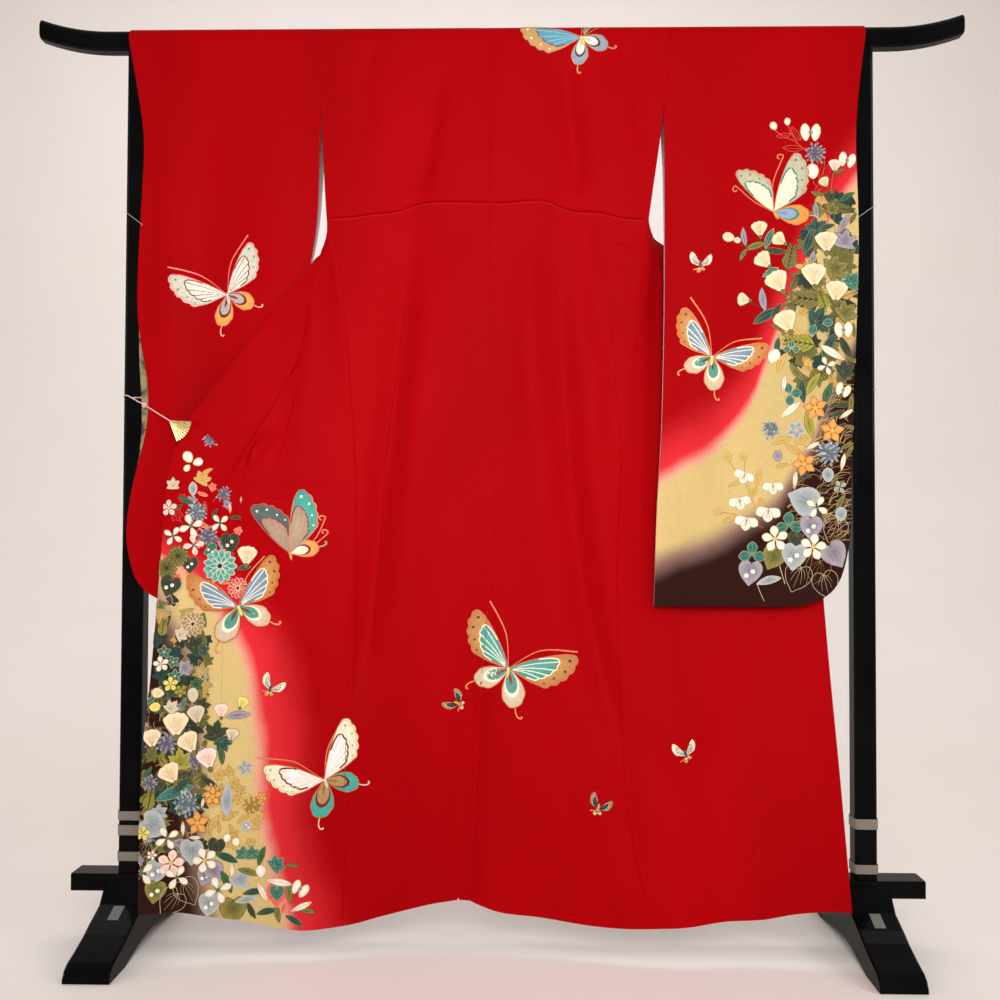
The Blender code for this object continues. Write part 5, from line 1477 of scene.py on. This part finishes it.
SLEEVE_LEAVES = """
long_leaf 0.5192 1.4621 28 186 red line; long_leaf 0.5410 1.4640 32 122 red line;
long_leaf 0.5354 1.4383 38 176 red line; long_leaf 0.5856 1.4015 40 78 red line;
long_leaf 0.5961 1.3939 34 66 red line; long_leaf 0.5801 1.3615 30 60 red line;
long_leaf 0.6173 1.3934 24 22 olive; long_leaf 0.5783 1.3542 28 168 olive;
lobed_leaf 0.5993 1.3481 24 30 dark; long_leaf 0.6294 1.3458 36 32 green;
lobed_leaf 0.6044 1.3261 30 80 olive; long_leaf 0.5763 1.3231 34 96 lilac;
lobed_leaf 0.5778 1.2902 46 40 deep; long_leaf 0.5597 1.2666 50 250 deep;
long_leaf 0.5937 1.2917 32 18 deep; long_leaf 0.5684 1.2338 34 80 lilac;
lobed_leaf 0.6270 1.2693 46 78 lilac; long_leaf 0.6255 1.2984 40 60 lilac;
long_leaf 0.4473 1.2765 36 98 lilac; long_leaf 0.4927 1.2733 40 68 teal;
long_leaf 0.4672 1.2585 42 18 olive; long_leaf 0.4454 1.2437 28 58 olive;
long_leaf 0.5035 1.2516 38 172 dark; fern 0.5289 1.2374 62 78 olive;
long_leaf 0.4942 1.2115 34 30 teal; lobed_leaf 0.6107 1.2185 54 20 olive;
lobed_leaf 0.6389 1.1947 40 60 teal; long_leaf 0.4812 1.1623 44 98 lilac;
fern 0.5554 1.1629 80 172 olive; fern 0.5857 1.1609 50 110 lime;
long_leaf 0.4865 1.1315 56 30 deep; long_leaf 0.5047 1.1408 34 60 dark;
lobed_leaf 0.5802 1.1229 56 10 deep; drop_leaf 0.5676 1.1066 20 240 teal;
drop_leaf 0.5941 1.1190 20 10 teal; lobed_leaf 0.6278 1.1386 48 40 olive;
fern 0.5460 1.0831 72 170 lime; long_leaf 0.5973 1.0773 52 62 deep;
long_leaf 0.6273 1.0753 46 118 dark; long_leaf 0.5062 1.0774 34 84 deep;
fern 0.5812 1.0269 62 24 olive; lobed_leaf 0.6252 1.0338 40 30 dark;
long_leaf 0.5505 0.9962 46 94 deep; long_leaf 0.5687 1.0089 48 58 lime;
long_leaf 0.5403 1.0306 42 128 olive; three_leaf 0.5272 0.9907 40 8 teal;
long_leaf 0.5949 0.9907 44 70 green; long_leaf 0.5624 0.9366 52 102 lime;
long_leaf 0.5858 0.9582 36 60 dark; long_leaf 0.5117 0.9057 38 18 gold;
long_leaf 0.5332 0.8915 38 152 gold; lobed_leaf 0.5460 0.9113 32 0 gold;
long_leaf 0.4701 0.8410 36 76 gold; long_leaf 0.4276 0.8284 26 20 gold;
long_leaf 0.4594 0.8106 30 60 gold; long_leaf 0.4205 0.7658 30 28 gold;
long_leaf 0.5114 0.8609 26 12 gold; long_leaf 0.4753 0.7909 30 100 gold;
heart_leaf 0.5489 0.8002 54 158 grey; three_leaf 0.5235 0.7536 48 92 teal;
round_leaf 0.5631 0.7501 42 268 lilac; heart_leaf 0.6040 0.7467 46 246 pale line;
heart_leaf 0.6255 0.7861 34 262 brown line; heart_leaf 0.5342 0.7286 28 250 dark;
heart_leaf 0.4950 0.6963 44 244 olive; heart_leaf 0.6056 0.7021 48 300 lilac;
heart_leaf 0.5379 0.6608 50 248 pale line; heart_leaf 0.5735 0.6734 46 252 brown line;
heart_leaf 0.5894 0.6485 48 284 pale line; round_leaf 0.5325 0.6983 46 262 grey;
round_leaf 0.4543 0.6694 44 262 lilac; long_leaf 0.4881 0.6552 46 14 grey;
long_leaf 0.6075 0.7289 30 40 brown line; three_leaf 0.4576 0.7016 46 88 teal
"""
SLEEVE_FLOWERS = """
drop 0.5009 1.4794 16 118 white; drop 0.5254 1.4864 14 92 white; twin 0.5663 1.4658 32 88 white;
cluster 0.5751 1.4273 36 20 lilac; drop 0.5695 1.3945 28 96 white; twin 0.6318 1.4152 27 78 white;
fan 0.6094 1.4045 22 86 blush; fan 0.5907 1.3740 19 118 cream; drop 0.4180 1.2750 22 172 cream;
drop 0.4337 1.2698 14 0 cream; fan 0.4746 1.2904 28 96 cream; fan 0.5109 1.2708 25 142 cream;
fan 0.5929 1.2644 38 92 cream; fan 0.4823 1.2331 31 132 cream; fan 0.5068 1.1934 40 118 cream;
fan 0.5706 1.2046 42 92 cream; fan 0.4459 1.1620 23 172 cream; fan 0.6104 1.1750 38 84 cream;
fan 0.5210 1.1210 40 112 cream; twin 0.6222 1.1060 29 92 white; pod 0.6025 1.0646 52 148 white;
three_leaf 0.5298 1.0722 28 90 teal; drop 0.4989 1.0592 27 62 white;
four 0.5918 1.0413 34 20 white; pod 0.5165 1.0087 32 82 white; twin 0.6214 0.9978 24 70 white;
pod 0.5268 0.9617 48 38 white; star 0.5717 0.9655 46 100 orange; star 0.6014 0.9240 46 84 orange;
star 0.5510 0.8647 46 110 orange; cluster 0.4920 0.9272 32 50 grey; star 0.5371 0.9257 38 60 grey;
drop 0.5043 0.8788 20 92 lilac; pod 0.5656 0.8970 30 28 white; pod 0.6265 0.9546 30 34 white;
pod 0.6206 0.8684 32 78 white; pod 0.5347 0.8359 32 84 white; cluster 0.5958 0.8863 42 80 grey;
drop 0.5938 0.8451 25 92 grey; drop 0.6166 0.7753 25 88 grey; drop 0.4152 0.8768 17 92 gold;
drop 0.4436 0.8768 16 88 gold; drop 0.3975 0.7782 15 170 gold; lily 0.4435 0.8410 34 250 white;
lily 0.4951 0.8214 34 270 white; lily 0.4364 0.7944 36 280 white; lily 0.4860 0.7749 40 265 white;
lily 0.4470 0.7587 38 260 white; four 0.5739 0.7877 42 60 white; flower 0.4985 0.7303 48 96 white;
flower 0.5665 0.7162 48 80 white; four 0.6150 0.8236 24 30 grey
"""
for table in (SLEEVE_LEAVES, SLEEVE_FLOWERS):
    for maker, place, size, angle, tone in planted(table):
        maker(art, place, size, angle, tone)
sleeve_plants = art.make()

# %% [markdown]
# The left front carries a second column. It starts high as loose flowers on red, thickens over the
# gold, and ends at the hem as a low hedge that runs towards the back. It is kept as two pieces, so
# that neither grows too heavy.

# %% Front plants
high_art = Patches("front_plants_high", LEFT_FRONT, DYES)
low_art = Patches("front_plants_low", LEFT_FRONT, DYES)
HIGH_ABOVE = 0.47
HIGH_COLUMN = [
    (-0.5723, 0.8499), (-0.5215, 0.8771), (-0.4558, 0.7875), (-0.4471, 0.6897), (-0.4994, 0.6187),
    (-0.5954, 0.6183), (-0.593, 0.7247),
]
MIDDLE_COLUMN = [
    (-0.6023, 0.6355), (-0.5159, 0.6185), (-0.5072, 0.5132), (-0.51, 0.4438), (-0.6065, 0.4436),
]
LOW_COLUMN = [
    (-0.6045, 0.4782), (-0.5089, 0.4611), (-0.5072, 0.2729), (-0.5097, 0.1535), (-0.6322, 0.1398),
    (-0.6288, 0.2984), (-0.6065, 0.4436),
]
GOLD_STRIP = [
    (-0.5034, 0.3241), (-0.4153, 0.3221), (-0.4061, 0.1839), (-0.4998, 0.1878),
]
strewn(high_art, HIGH_COLUMN, 40, [(long_leaf, 16, 28, 70, 90, "rust, red line, dark"),
                                   (blade, 12, 20, 90, 90, "red line"),
                                   (lobed_leaf, 14, 24, 0, 180, "rust, lilac, red line")], 11)
strewn(high_art, MIDDLE_COLUMN, 40, [(leaf_ground, 24, 38, 0, 180, "dark, olive, deep, gold")], 9)
strewn(low_art, LOW_COLUMN, 80, [(leaf_ground, 26, 42, 0, 180, "dark, dark, olive, deep")], 10)
strewn(low_art, LOW_COLUMN, 90, [(long_leaf, 18, 34, 70, 90, "olive, dark, green"),
                                 (fern, 22, 36, 80, 70, "olive, lime"),
                                 (lobed_leaf, 18, 30, 0, 180, "dark, olive, lilac")], 12)
strewn(low_art, LOW_COLUMN, 110,
       [(blade, 12, 24, 60, 70, "gold line, pale line, brown line")], 13)
strewn(low_art, GOLD_STRIP, 24, [(long_leaf, 18, 32, 80, 60, "gold"),
                                 (lobed_leaf, 18, 28, 0, 180, "gold")], 14)

FRONT_LEAVES = """
cluster -0.5113 0.9059 26 30 lilac; lobed_leaf -0.5242 0.8358 34 60 gold;
long_leaf -0.5173 0.8466 26 30 orange; lobed_leaf -0.5770 0.8247 28 90 beige;
bud -0.5412 0.8159 26 92 grey; cluster -0.4847 0.8071 26 10 lilac;
long_leaf -0.5530 0.7962 32 150 green; cluster -0.5335 0.7749 36 40 grey;
lobed_leaf -0.5687 0.7694 26 0 red line; long_leaf -0.4630 0.7644 22 0 dark;
cluster -0.5138 0.7303 38 70 lilac; round_leaf -0.4730 0.7198 34 270 dark;
round_leaf -0.5077 0.7054 26 200 teal; round_leaf -0.5448 0.6803 28 270 dark;
long_leaf -0.4468 0.6756 26 10 deep; mum -0.5657 0.6963 38 0 olive; mum -0.5847 0.6750 38 20 olive;
round_leaf -0.5786 0.6431 36 250 dark; mum -0.4901 0.6789 62 0 teal line;
mum -0.4567 0.6401 38 15 blush line; lobed_leaf -0.5828 0.6077 44 70 pale line;
mum -0.5369 0.5759 46 8 cream line; fern -0.5886 0.5690 40 80 lime;
lobed_leaf -0.5560 0.5582 30 20 beige; lobed_leaf -0.5306 0.5389 42 50 dark;
lobed_leaf -0.5152 0.5305 26 20 deep; star -0.5855 0.5269 26 90 teal;
star -0.5697 0.5092 24 40 teal; long_leaf -0.5160 0.4991 34 120 pale line;
lobed_leaf -0.5474 0.4984 34 0 lilac; star -0.5656 0.4847 26 20 teal;
mum -0.5154 0.4834 30 0 pale line; lobed_leaf -0.5262 0.4709 28 30 green;
lobed_leaf -0.5133 0.4334 34 10 dark; lobed_leaf -0.5684 0.4311 30 50 beige;
long_leaf -0.5484 0.4359 26 70 teal; long_leaf -0.6030 0.4436 26 40 teal;
cluster -0.5739 0.3696 34 10 lilac; lobed_leaf -0.5494 0.3398 50 100 lime;
cluster -0.5222 0.3406 30 60 lilac; long_leaf -0.4506 0.4167 46 6 lilac;
lobed_leaf -0.4881 0.3892 48 80 dark; lobed_leaf -0.4751 0.3687 34 300 deep;
long_leaf -0.4780 0.3499 34 280 green; long_leaf -0.4974 0.3055 36 150 dark;
long_leaf -0.5560 0.2835 70 20 teal; long_leaf -0.5459 0.2955 48 40 deep;
cluster -0.6001 0.3017 26 80 lilac; fern -0.5990 0.2729 46 80 lime;
lobed_leaf -0.5813 0.2523 30 30 grey; heart_leaf -0.5906 0.2287 48 330 grey;
cluster -0.4881 0.2816 36 40 gold; cluster -0.4243 0.2620 38 0 gold;
round_leaf -0.4320 0.2263 18 0 grey; long_leaf -0.4641 0.2726 60 88 grey;
long_leaf -0.4870 0.2320 36 60 gold; star -0.4443 0.2891 22 30 gold;
heart_leaf -0.5246 0.1837 42 270 grey; heart_leaf -0.6030 0.1916 34 250 pale line;
heart_leaf -0.4829 0.1926 30 260 dark; round_leaf -0.5847 0.1509 38 260 grey;
round_leaf -0.5853 0.1173 38 262 olive; heart_leaf -0.5301 0.1156 46 300 pale line;
heart_leaf -0.5589 0.0989 46 230 pale line; round_leaf -0.5007 0.1417 32 250 lilac;
heart_leaf -0.4839 0.1499 34 300 lilac; round_leaf -0.4931 0.0939 38 262 grey;
heart_leaf -0.4530 0.0818 46 270 olive; long_leaf -0.4659 0.1731 44 335 deep;
long_leaf -0.4653 0.1320 44 295 green; lobed_leaf -0.4379 0.1802 30 90 teal;
lobed_leaf -0.4232 0.1790 30 90 teal; long_leaf -0.4060 0.1736 36 72 green;
lobed_leaf -0.3793 0.1603 36 40 teal; long_leaf -0.3526 0.1576 24 350 olive;
heart_leaf -0.4406 0.1339 34 300 grey; long_leaf -0.4305 0.0985 40 5 grey;
long_leaf -0.4192 0.1113 38 5 deep; long_leaf -0.3959 0.0774 38 12 deep;
long_leaf -0.4222 0.0805 32 116 dark; long_leaf -0.3479 0.0633 36 330 deep;
long_leaf -0.3764 0.0762 34 100 olive; long_leaf -0.3251 0.0795 30 350 olive;
heart_leaf -0.3786 0.1070 40 270 rust; heart_leaf -0.3786 0.1104 26 270 teal;
long_leaf -0.3659 0.0850 26 70 rust; long_leaf -0.4294 0.1467 36 340 olive;
long_leaf -0.3556 0.1128 40 96 olive
"""
FRONT_FLOWERS = """
drop -0.4761 0.9271 14 60 white; drop -0.5516 0.8733 22 120 white; drop -0.5336 0.8644 18 20 white;
drop -0.5527 0.8535 14 230 white; pod -0.4541 0.7964 12 86 blush; pod -0.4738 0.7821 20 94 blush;
flower -0.5833 0.7818 30 20 blush; four -0.4918 0.7554 36 40 white;
four -0.5438 0.7498 44 20 white; four -0.5752 0.7319 36 60 white; four -0.5385 0.7160 38 100 blush;
fan -0.4418 0.6969 34 86 cream; flower -0.5898 0.5060 28 30 white;
flower -0.5724 0.4710 26 20 yellow; flower -0.5547 0.4584 22 50 lime;
drop -0.5930 0.4557 22 170 cream; drop -0.5322 0.4517 26 92 beige;
drop -0.5972 0.4316 20 10 yellow; fan -0.5238 0.4175 32 104 beige; fan -0.5596 0.3999 42 92 cream;
fan -0.5999 0.3767 32 98 cream; fan -0.5347 0.3690 38 120 cream; fan -0.5659 0.3164 36 122 cream;
fan -0.5005 0.3430 36 108 blush; fan -0.4802 0.4252 24 92 blush; fan -0.4436 0.4392 20 66 yellow;
fan -0.4601 0.3840 22 80 beige; star -0.4368 0.3267 30 30 grey; cluster -0.5354 0.2665 44 30 grey;
star -0.5151 0.2335 44 96 orange; star -0.4898 0.2799 36 20 orange; pod -0.5419 0.2222 26 92 white;
pod -0.5198 0.2086 24 2 white; pod -0.5070 0.2677 20 80 white; flower -0.6092 0.2169 26 10 yellow;
four -0.5683 0.2077 42 30 white; flower -0.5606 0.1649 46 80 blush;
four -0.6085 0.1495 46 40 white; four -0.5499 0.1408 44 60 white;
flower -0.5012 0.1707 44 40 white; four -0.4784 0.1189 48 20 white;
drop -0.4647 0.2074 16 80 white; drop -0.4496 0.1999 16 110 white; pod -0.4556 0.1504 28 94 white;
drop -0.4074 0.1477 22 92 white; pod -0.3753 0.1294 48 352 white; pod -0.4052 0.1133 40 298 white;
pod -0.3358 0.0877 40 24 white; twin -0.3379 0.1186 26 60 white; star -0.4075 0.2754 20 50 orange;
flower -0.5923 0.1798 18 0 white
"""
for table in (FRONT_LEAVES, FRONT_FLOWERS):
    for maker, place, size, angle, tone in planted(table):
        maker(high_art if place[1] > HIGH_ABOVE else low_art, place, size, angle, tone)
front_plants = [high_art.make(), low_art.make()]

# %% [markdown]
# Butterflies are scattered over the red, the largest about a hand wide. Each lies on its own
# panel, or on two where it crosses the seam in the middle of the back; the one on the shoulder is
# cut off where the cloth turns over the bar.

# %% Butterflies on the cloth
# A wing is its maker, its angle, its size in mm and which way its leading edge turns; a feeler is
# where it ends, how far it bends and whether it curls; last come the body's angle and size
UP, DOWN = False, True
art = Patches("sleeve_butterflies", ("sleeve_right",), DYES)
butterfly(art, (0.5008, 1.3213), LOOKS["pale"],
          [(forewing, 130, 98, UP), (hindwing, 352, 62, DOWN), (forewing, 66, 112, UP)],
          [((0.4333, 1.3678), 0.05, 1), ((0.5171, 1.4216), 0.10, 1)], 300, 20)
butterfly(art, (0.3871, 1.0568), LOOKS["orange"],
          [(hindwing, 204, 52, UP), (hindwing, 275, 60, UP), (forewing, 122, 100, DOWN),
           (forewing, 9, 102, UP)],
          [((0.3491, 1.1655), -0.10, 0), ((0.4785, 1.0916), 0.12, 0)], 265, 20)
small_butterfly(art, (0.3678, 1.2298), 40, 84, LOOKS["small white"])
sleeve_butterflies = art.make()

art = Patches("left_sleeve_butterfly", ("sleeve_left",), DYES)
butterfly(art, (-0.4919, 1.1717), LOOKS["white"],
          [(hindwing, 339, 54, UP), (hindwing, 261, 58, UP), (forewing, 166, 108, DOWN),
           (forewing, 62.7, 102, UP)],
          [((-0.4539, 1.2802), 0.12, 0), ((-0.6000, 1.2212), -0.10, 0)], 285, 24)
left_butterfly = art.make()

art = Patches("back_butterflies", BODIES, DYES)
butterfly(art, (0.0230, 0.4969), LOOKS["teal cells"],
          [(hindwing, 202, 64, UP), (hindwing, 281, 70, UP), (forewing, 122.5, 117, DOWN),
           (forewing, 6, 122, UP)],
          [((-0.0105, 0.6170), -0.10, 0), ((0.1468, 0.5274), 0.14, 0)], 262, 20)
butterfly(art, (0.1526, 1.6445), LOOKS["blue"],
          [(hindwing, 341, 50, UP), (hindwing, 264, 50, UP), (forewing, 172, 110, DOWN),
           (forewing, 70, 110, UP)], [], 290, 20)
small_butterfly(art, (-0.0723, 0.4386), 40, 142, LOOKS["small dusk"])
small_butterfly(art, (0.1851, 0.2620), 40, 66, LOOKS["small dusk"])
small_butterfly(art, (0.3349, 0.3565), 42, 104, LOOKS["small white"])
# The seam in the middle of the back shows through the wing that lies across it
WING_LOW, WING_HIGH = 0.475, 0.605
on_wing = centre_seam[(centre_seam[:, 1] > WING_LOW) & (centre_seam[:, 1] < WING_HIGH)]
art.stroke(on_wing, 0.9 * MM, ink(120, 44, 22), over=True)
back_butterflies = art.make()

art = Patches("front_butterflies", LEFT_FRONT, DYES)
butterfly(art, (-0.3639, 0.7026), LOOKS["dusk"], [(forewing, 128, 106, UP)],
          [((-0.3048, 0.7632), -0.16, 1), ((-0.3006, 0.7364), -0.10, 1)], 280, 10)
butterfly(art, (-0.3639, 0.7026), LOOKS["spotted"],
          [(hindwing, 14, 50, UP), (forewing, 79, 112, UP)], [], 280, 16)
butterfly(art, (-0.4541, 0.6067), LOOKS["orange"],
          [(hindwing, 336, 60, UP), (hindwing, 242, 68, UP), (forewing, 152, 106, DOWN),
           (forewing, 54, 107, UP)],
          [((-0.4094, 0.6970), 0.12, 0), ((-0.5515, 0.6661), -0.10, 0)], 292, 22)
butterfly(art, (-0.2978, 0.3051), LOOKS["white teal"],
          [(hindwing, 351, 58, UP), (hindwing, 264, 65, UP), (forewing, 171.5, 107, DOWN),
           (forewing, 69, 109, UP)],
          [((-0.4172, 0.3430), -0.10, 0), ((-0.2720, 0.4028), 0.10, 0)], 290, 20)
small_butterfly(art, (-0.3912, 0.4695), 42, 62, LOOKS["small white"])
side_seam = [(-0.2632, 0.3763), (-0.2643, 0.3205), (-0.2656, 0.2856)]
art.stroke(side_seam, 0.8 * MM, ink(126, 74, 50), over=True)
front_butterflies = art.make()

# %% [markdown]
# A pink and white cord runs round the left post, through a knot, and pulls on a small folding-fan
# clip that holds the corner of the collar out. Such a cord is two strands laid round each other,
# so it is made as two thin tubes that wind round one line.

# %% Cord and clip
cord_pink = mottled("pink_cord", (0.78, 0.42, 0.40), 0.7, 700.0, (0.66, 0.26, 0.27),
                    (0.86, 0.48, 0.46))
cord_white = mottled("white_cord", (0.85, 0.80, 0.76), 0.7, 700.0, (0.76, 0.66, 0.62),
                     (0.90, 0.86, 0.82))
clip_gold = mottled("gold_clip", (0.58, 0.42, 0.14), 0.34, 220.0, (0.50, 0.34, 0.11),
                    (0.76, 0.58, 0.26), detail=2.0, metallic=0.8)
thread_grey = mottled("tie_thread", (0.55, 0.52, 0.48), 0.6, 800.0, (0.42, 0.40, 0.37),
                      (0.66, 0.63, 0.58))

POST_X = 0.664
POST_HALF = 0.020
TIE_RADIUS = 0.0012
STRAND_OFF, STRAND_RADIUS = TIE_RADIUS * 0.46, TIE_RADIUS * 0.54
STRAND_SIDES = 8
STRAND_STEP = 0.0008
TWIST_LENGTH = 0.0056
KNOT = Vector((-0.6385, -0.0365, 0.9690))
KNOT_RADIUS = 0.0053
CLIP_APEX = Vector((-0.5860, -0.0592, 0.9390))
LEAVES_POST = Vector((-0.6720, -0.0295, 0.9870))
LOOP_TOP, LOOP_FALL = 0.9885, 0.0042


def evenly(path, step):
    """Points at even steps along a line in space."""
    out = [path[0]]
    for a, b in zip(path, path[1:]):
        count = max(1, round((b - a).length / step))
        out += [a.lerp(b, n / count) for n in range(1, count + 1)]
    return out


def laid_cord(name, path, node_name, **facts):
    """Two strands wound round a path, in one mesh."""
    line = evenly(path, STRAND_STEP)
    bm = bmesh.new()
    normal = Vector((0.3, -0.9, 0.3)).normalized()
    for strand in (0, 1):
        rings = []
        run = 0.0
        for n, spot in enumerate(line):
            ahead = (line[min(n + 1, len(line) - 1)] - line[max(n - 1, 0)]).normalized()
            normal = (normal - ahead * normal.dot(ahead)).normalized()
            across = ahead.cross(normal)

            def out_to(turn):
                return normal * math.cos(turn) + across * math.sin(turn)

            centre = spot + out_to(run / TWIST_LENGTH * math.tau + strand * math.pi) * STRAND_OFF
            rings.append([bm.verts.new(centre + out_to(math.tau * k / STRAND_SIDES) * STRAND_RADIUS)
                          for k in range(STRAND_SIDES)])
            run += STRAND_STEP
        for a, b in zip(rings, rings[1:]):
            for k in range(STRAND_SIDES):
                m = (k + 1) % STRAND_SIDES
                bm.faces.new((a[k], a[m], b[m], b[k])).material_index = strand
        bm.faces.new(reversed(rings[0])).material_index = strand
        bm.faces.new(rings[-1]).material_index = strand
    mesh = bpy.data.meshes.new(name)
    bmesh.ops.recalc_face_normals(bm, faces=bm.faces)
    bm.to_mesh(mesh)
    bm.free()
    mesh.shade_smooth()
    mesh.materials.append(cord_pink)
    mesh.materials.append(cord_white)
    cord = linked(name, mesh)
    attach(cord, "root")
    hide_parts(node_name)


def loop_path():
    """From the knot up to the post, and once round it."""
    half = POST_HALF + TIE_RADIUS + 0.0003
    corner = 0.007
    path = [KNOT + (LEAVES_POST - KNOT).normalized() * KNOT_RADIUS, LEAVES_POST]
    for n in range(16):
        quarter, part = divmod(n, 4)
        turn = 1.5 * math.pi - math.pi / 2 * (quarter + part / 3)
        x = (-1 if quarter in (0, 1) else 1) * (half - corner) + corner * math.cos(turn)
        y = (-1 if quarter in (0, 3) else 1) * (half - corner) + corner * math.sin(turn)
        path.append(Vector((x - POST_X, y, LOOP_TOP - LOOP_FALL * n / 16)))
    path.append(Vector((-0.668, -half, LOOP_TOP - LOOP_FALL)))
    return path


knot_way = (CLIP_APEX - KNOT).normalized()
laid_cord("tie_loop_cord", loop_path(), "tie_loop", far_end="object", stiffness="limp",
          lay="coiled", with_pieces=[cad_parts["tie_knot"]])
short_path = [KNOT + knot_way * KNOT_RADIUS, CLIP_APEX + knot_way * 0.0013]
laid_cord("tie_cord_taut", short_path, "tie_cord", far_end="fitting", stiffness="limp",
          lay="taut", with_pieces=["clip_fan"])
dress(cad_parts["tie_knot"], cord_pink)
dress(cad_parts["clip_fan"], clip_gold)

# %% [markdown]
# Three thin threads hold the sleeves out. Each starts at a sleeve's edge, runs once round the post
# and comes back. A curve with a round bevel is enough for a thread as thin as this.

# %% Threads round the posts
THREAD_RADIUS = 0.0004
THREAD_HALF = 0.0212
THREAD_FALL = 0.0016


def post_thread(name, sleeve, side, post_z, edge_x, edge_z):
    """A thread from the edge of a sleeve, once round the post and back."""
    _, spot, _, _ = silk[sleeve].ray_cast((edge_x, -1, edge_z), (0, 1, 0))
    start = Vector((edge_x, spot.y - 0.0009, edge_z))
    path = [start]
    for n, (x, y) in enumerate(((1, -1), (1, 1), (-1, 1), (-1, -1))):
        path.append(Vector((side * (POST_X + x * THREAD_HALF), y * THREAD_HALF,
                            post_z - THREAD_FALL * n)))
    path.append(start + Vector((0, -0.0002, -0.0030)))
    line = evenly(path, 0.004)
    curve = bpy.data.curves.new(name, "CURVE")
    curve.dimensions = "3D"
    curve.bevel_depth = THREAD_RADIUS
    curve.bevel_resolution = 2
    curve.use_fill_caps = True
    spline = curve.splines.new("POLY")
    spline.points.add(len(line) - 1)
    for point, place in zip(spline.points, line):
        point.co = (*place, 1)
    curve.materials.append(thread_grey)
    cord = linked(name, curve)
    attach(cord, "root")


post_thread("thread_left", "sleeve_left", -1, 1.328, -0.650, 1.301)
post_thread("thread_right_top", "sleeve_right", 1, 1.336, 0.648, 1.308)
post_thread("thread_right_low", "sleeve_right", 1, 1.002, 0.642, 0.993)

# %% [markdown]
# Last, each panel's cut is listed: the sheet it was before it was sewn, its width and its length
# off the bolt, and the area of its cloth is printed beside it. A furisode is cut from one narrow
# bolt, so all its panels are long rectangles.

# %% The cut of each panel
CUTS = {
    "sleeve_left": ((0.37, 2.13), 0.78, [left_butterfly]),
    "body_left": ((0.32, 3.00), 0.74,
                  [tuck_piece, back_butterflies, front_butterflies, *front_plants]),
    "okumi_left": ((0.155, 0.99), 0.12, []),
    "collar": ((0.065, 1.95), 0.125, []),
    "body_right": ((0.32, 3.00), 0.74, []),
    "okumi_right": ((0.155, 0.99), 0.13, []),
    "sleeve_right": ((0.37, 2.13), 0.78, [sleeve_plants, sleeve_butterflies]),
}
for name, (flat, area, pieces) in CUTS.items():
    right_side = [f for f in silk[name].data.polygons if f.material_index == 0]
    print(name, "cloth", round(sum(f.area for f in right_side), 3), "cut", flat, area)

# %% Size and finish
low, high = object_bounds()
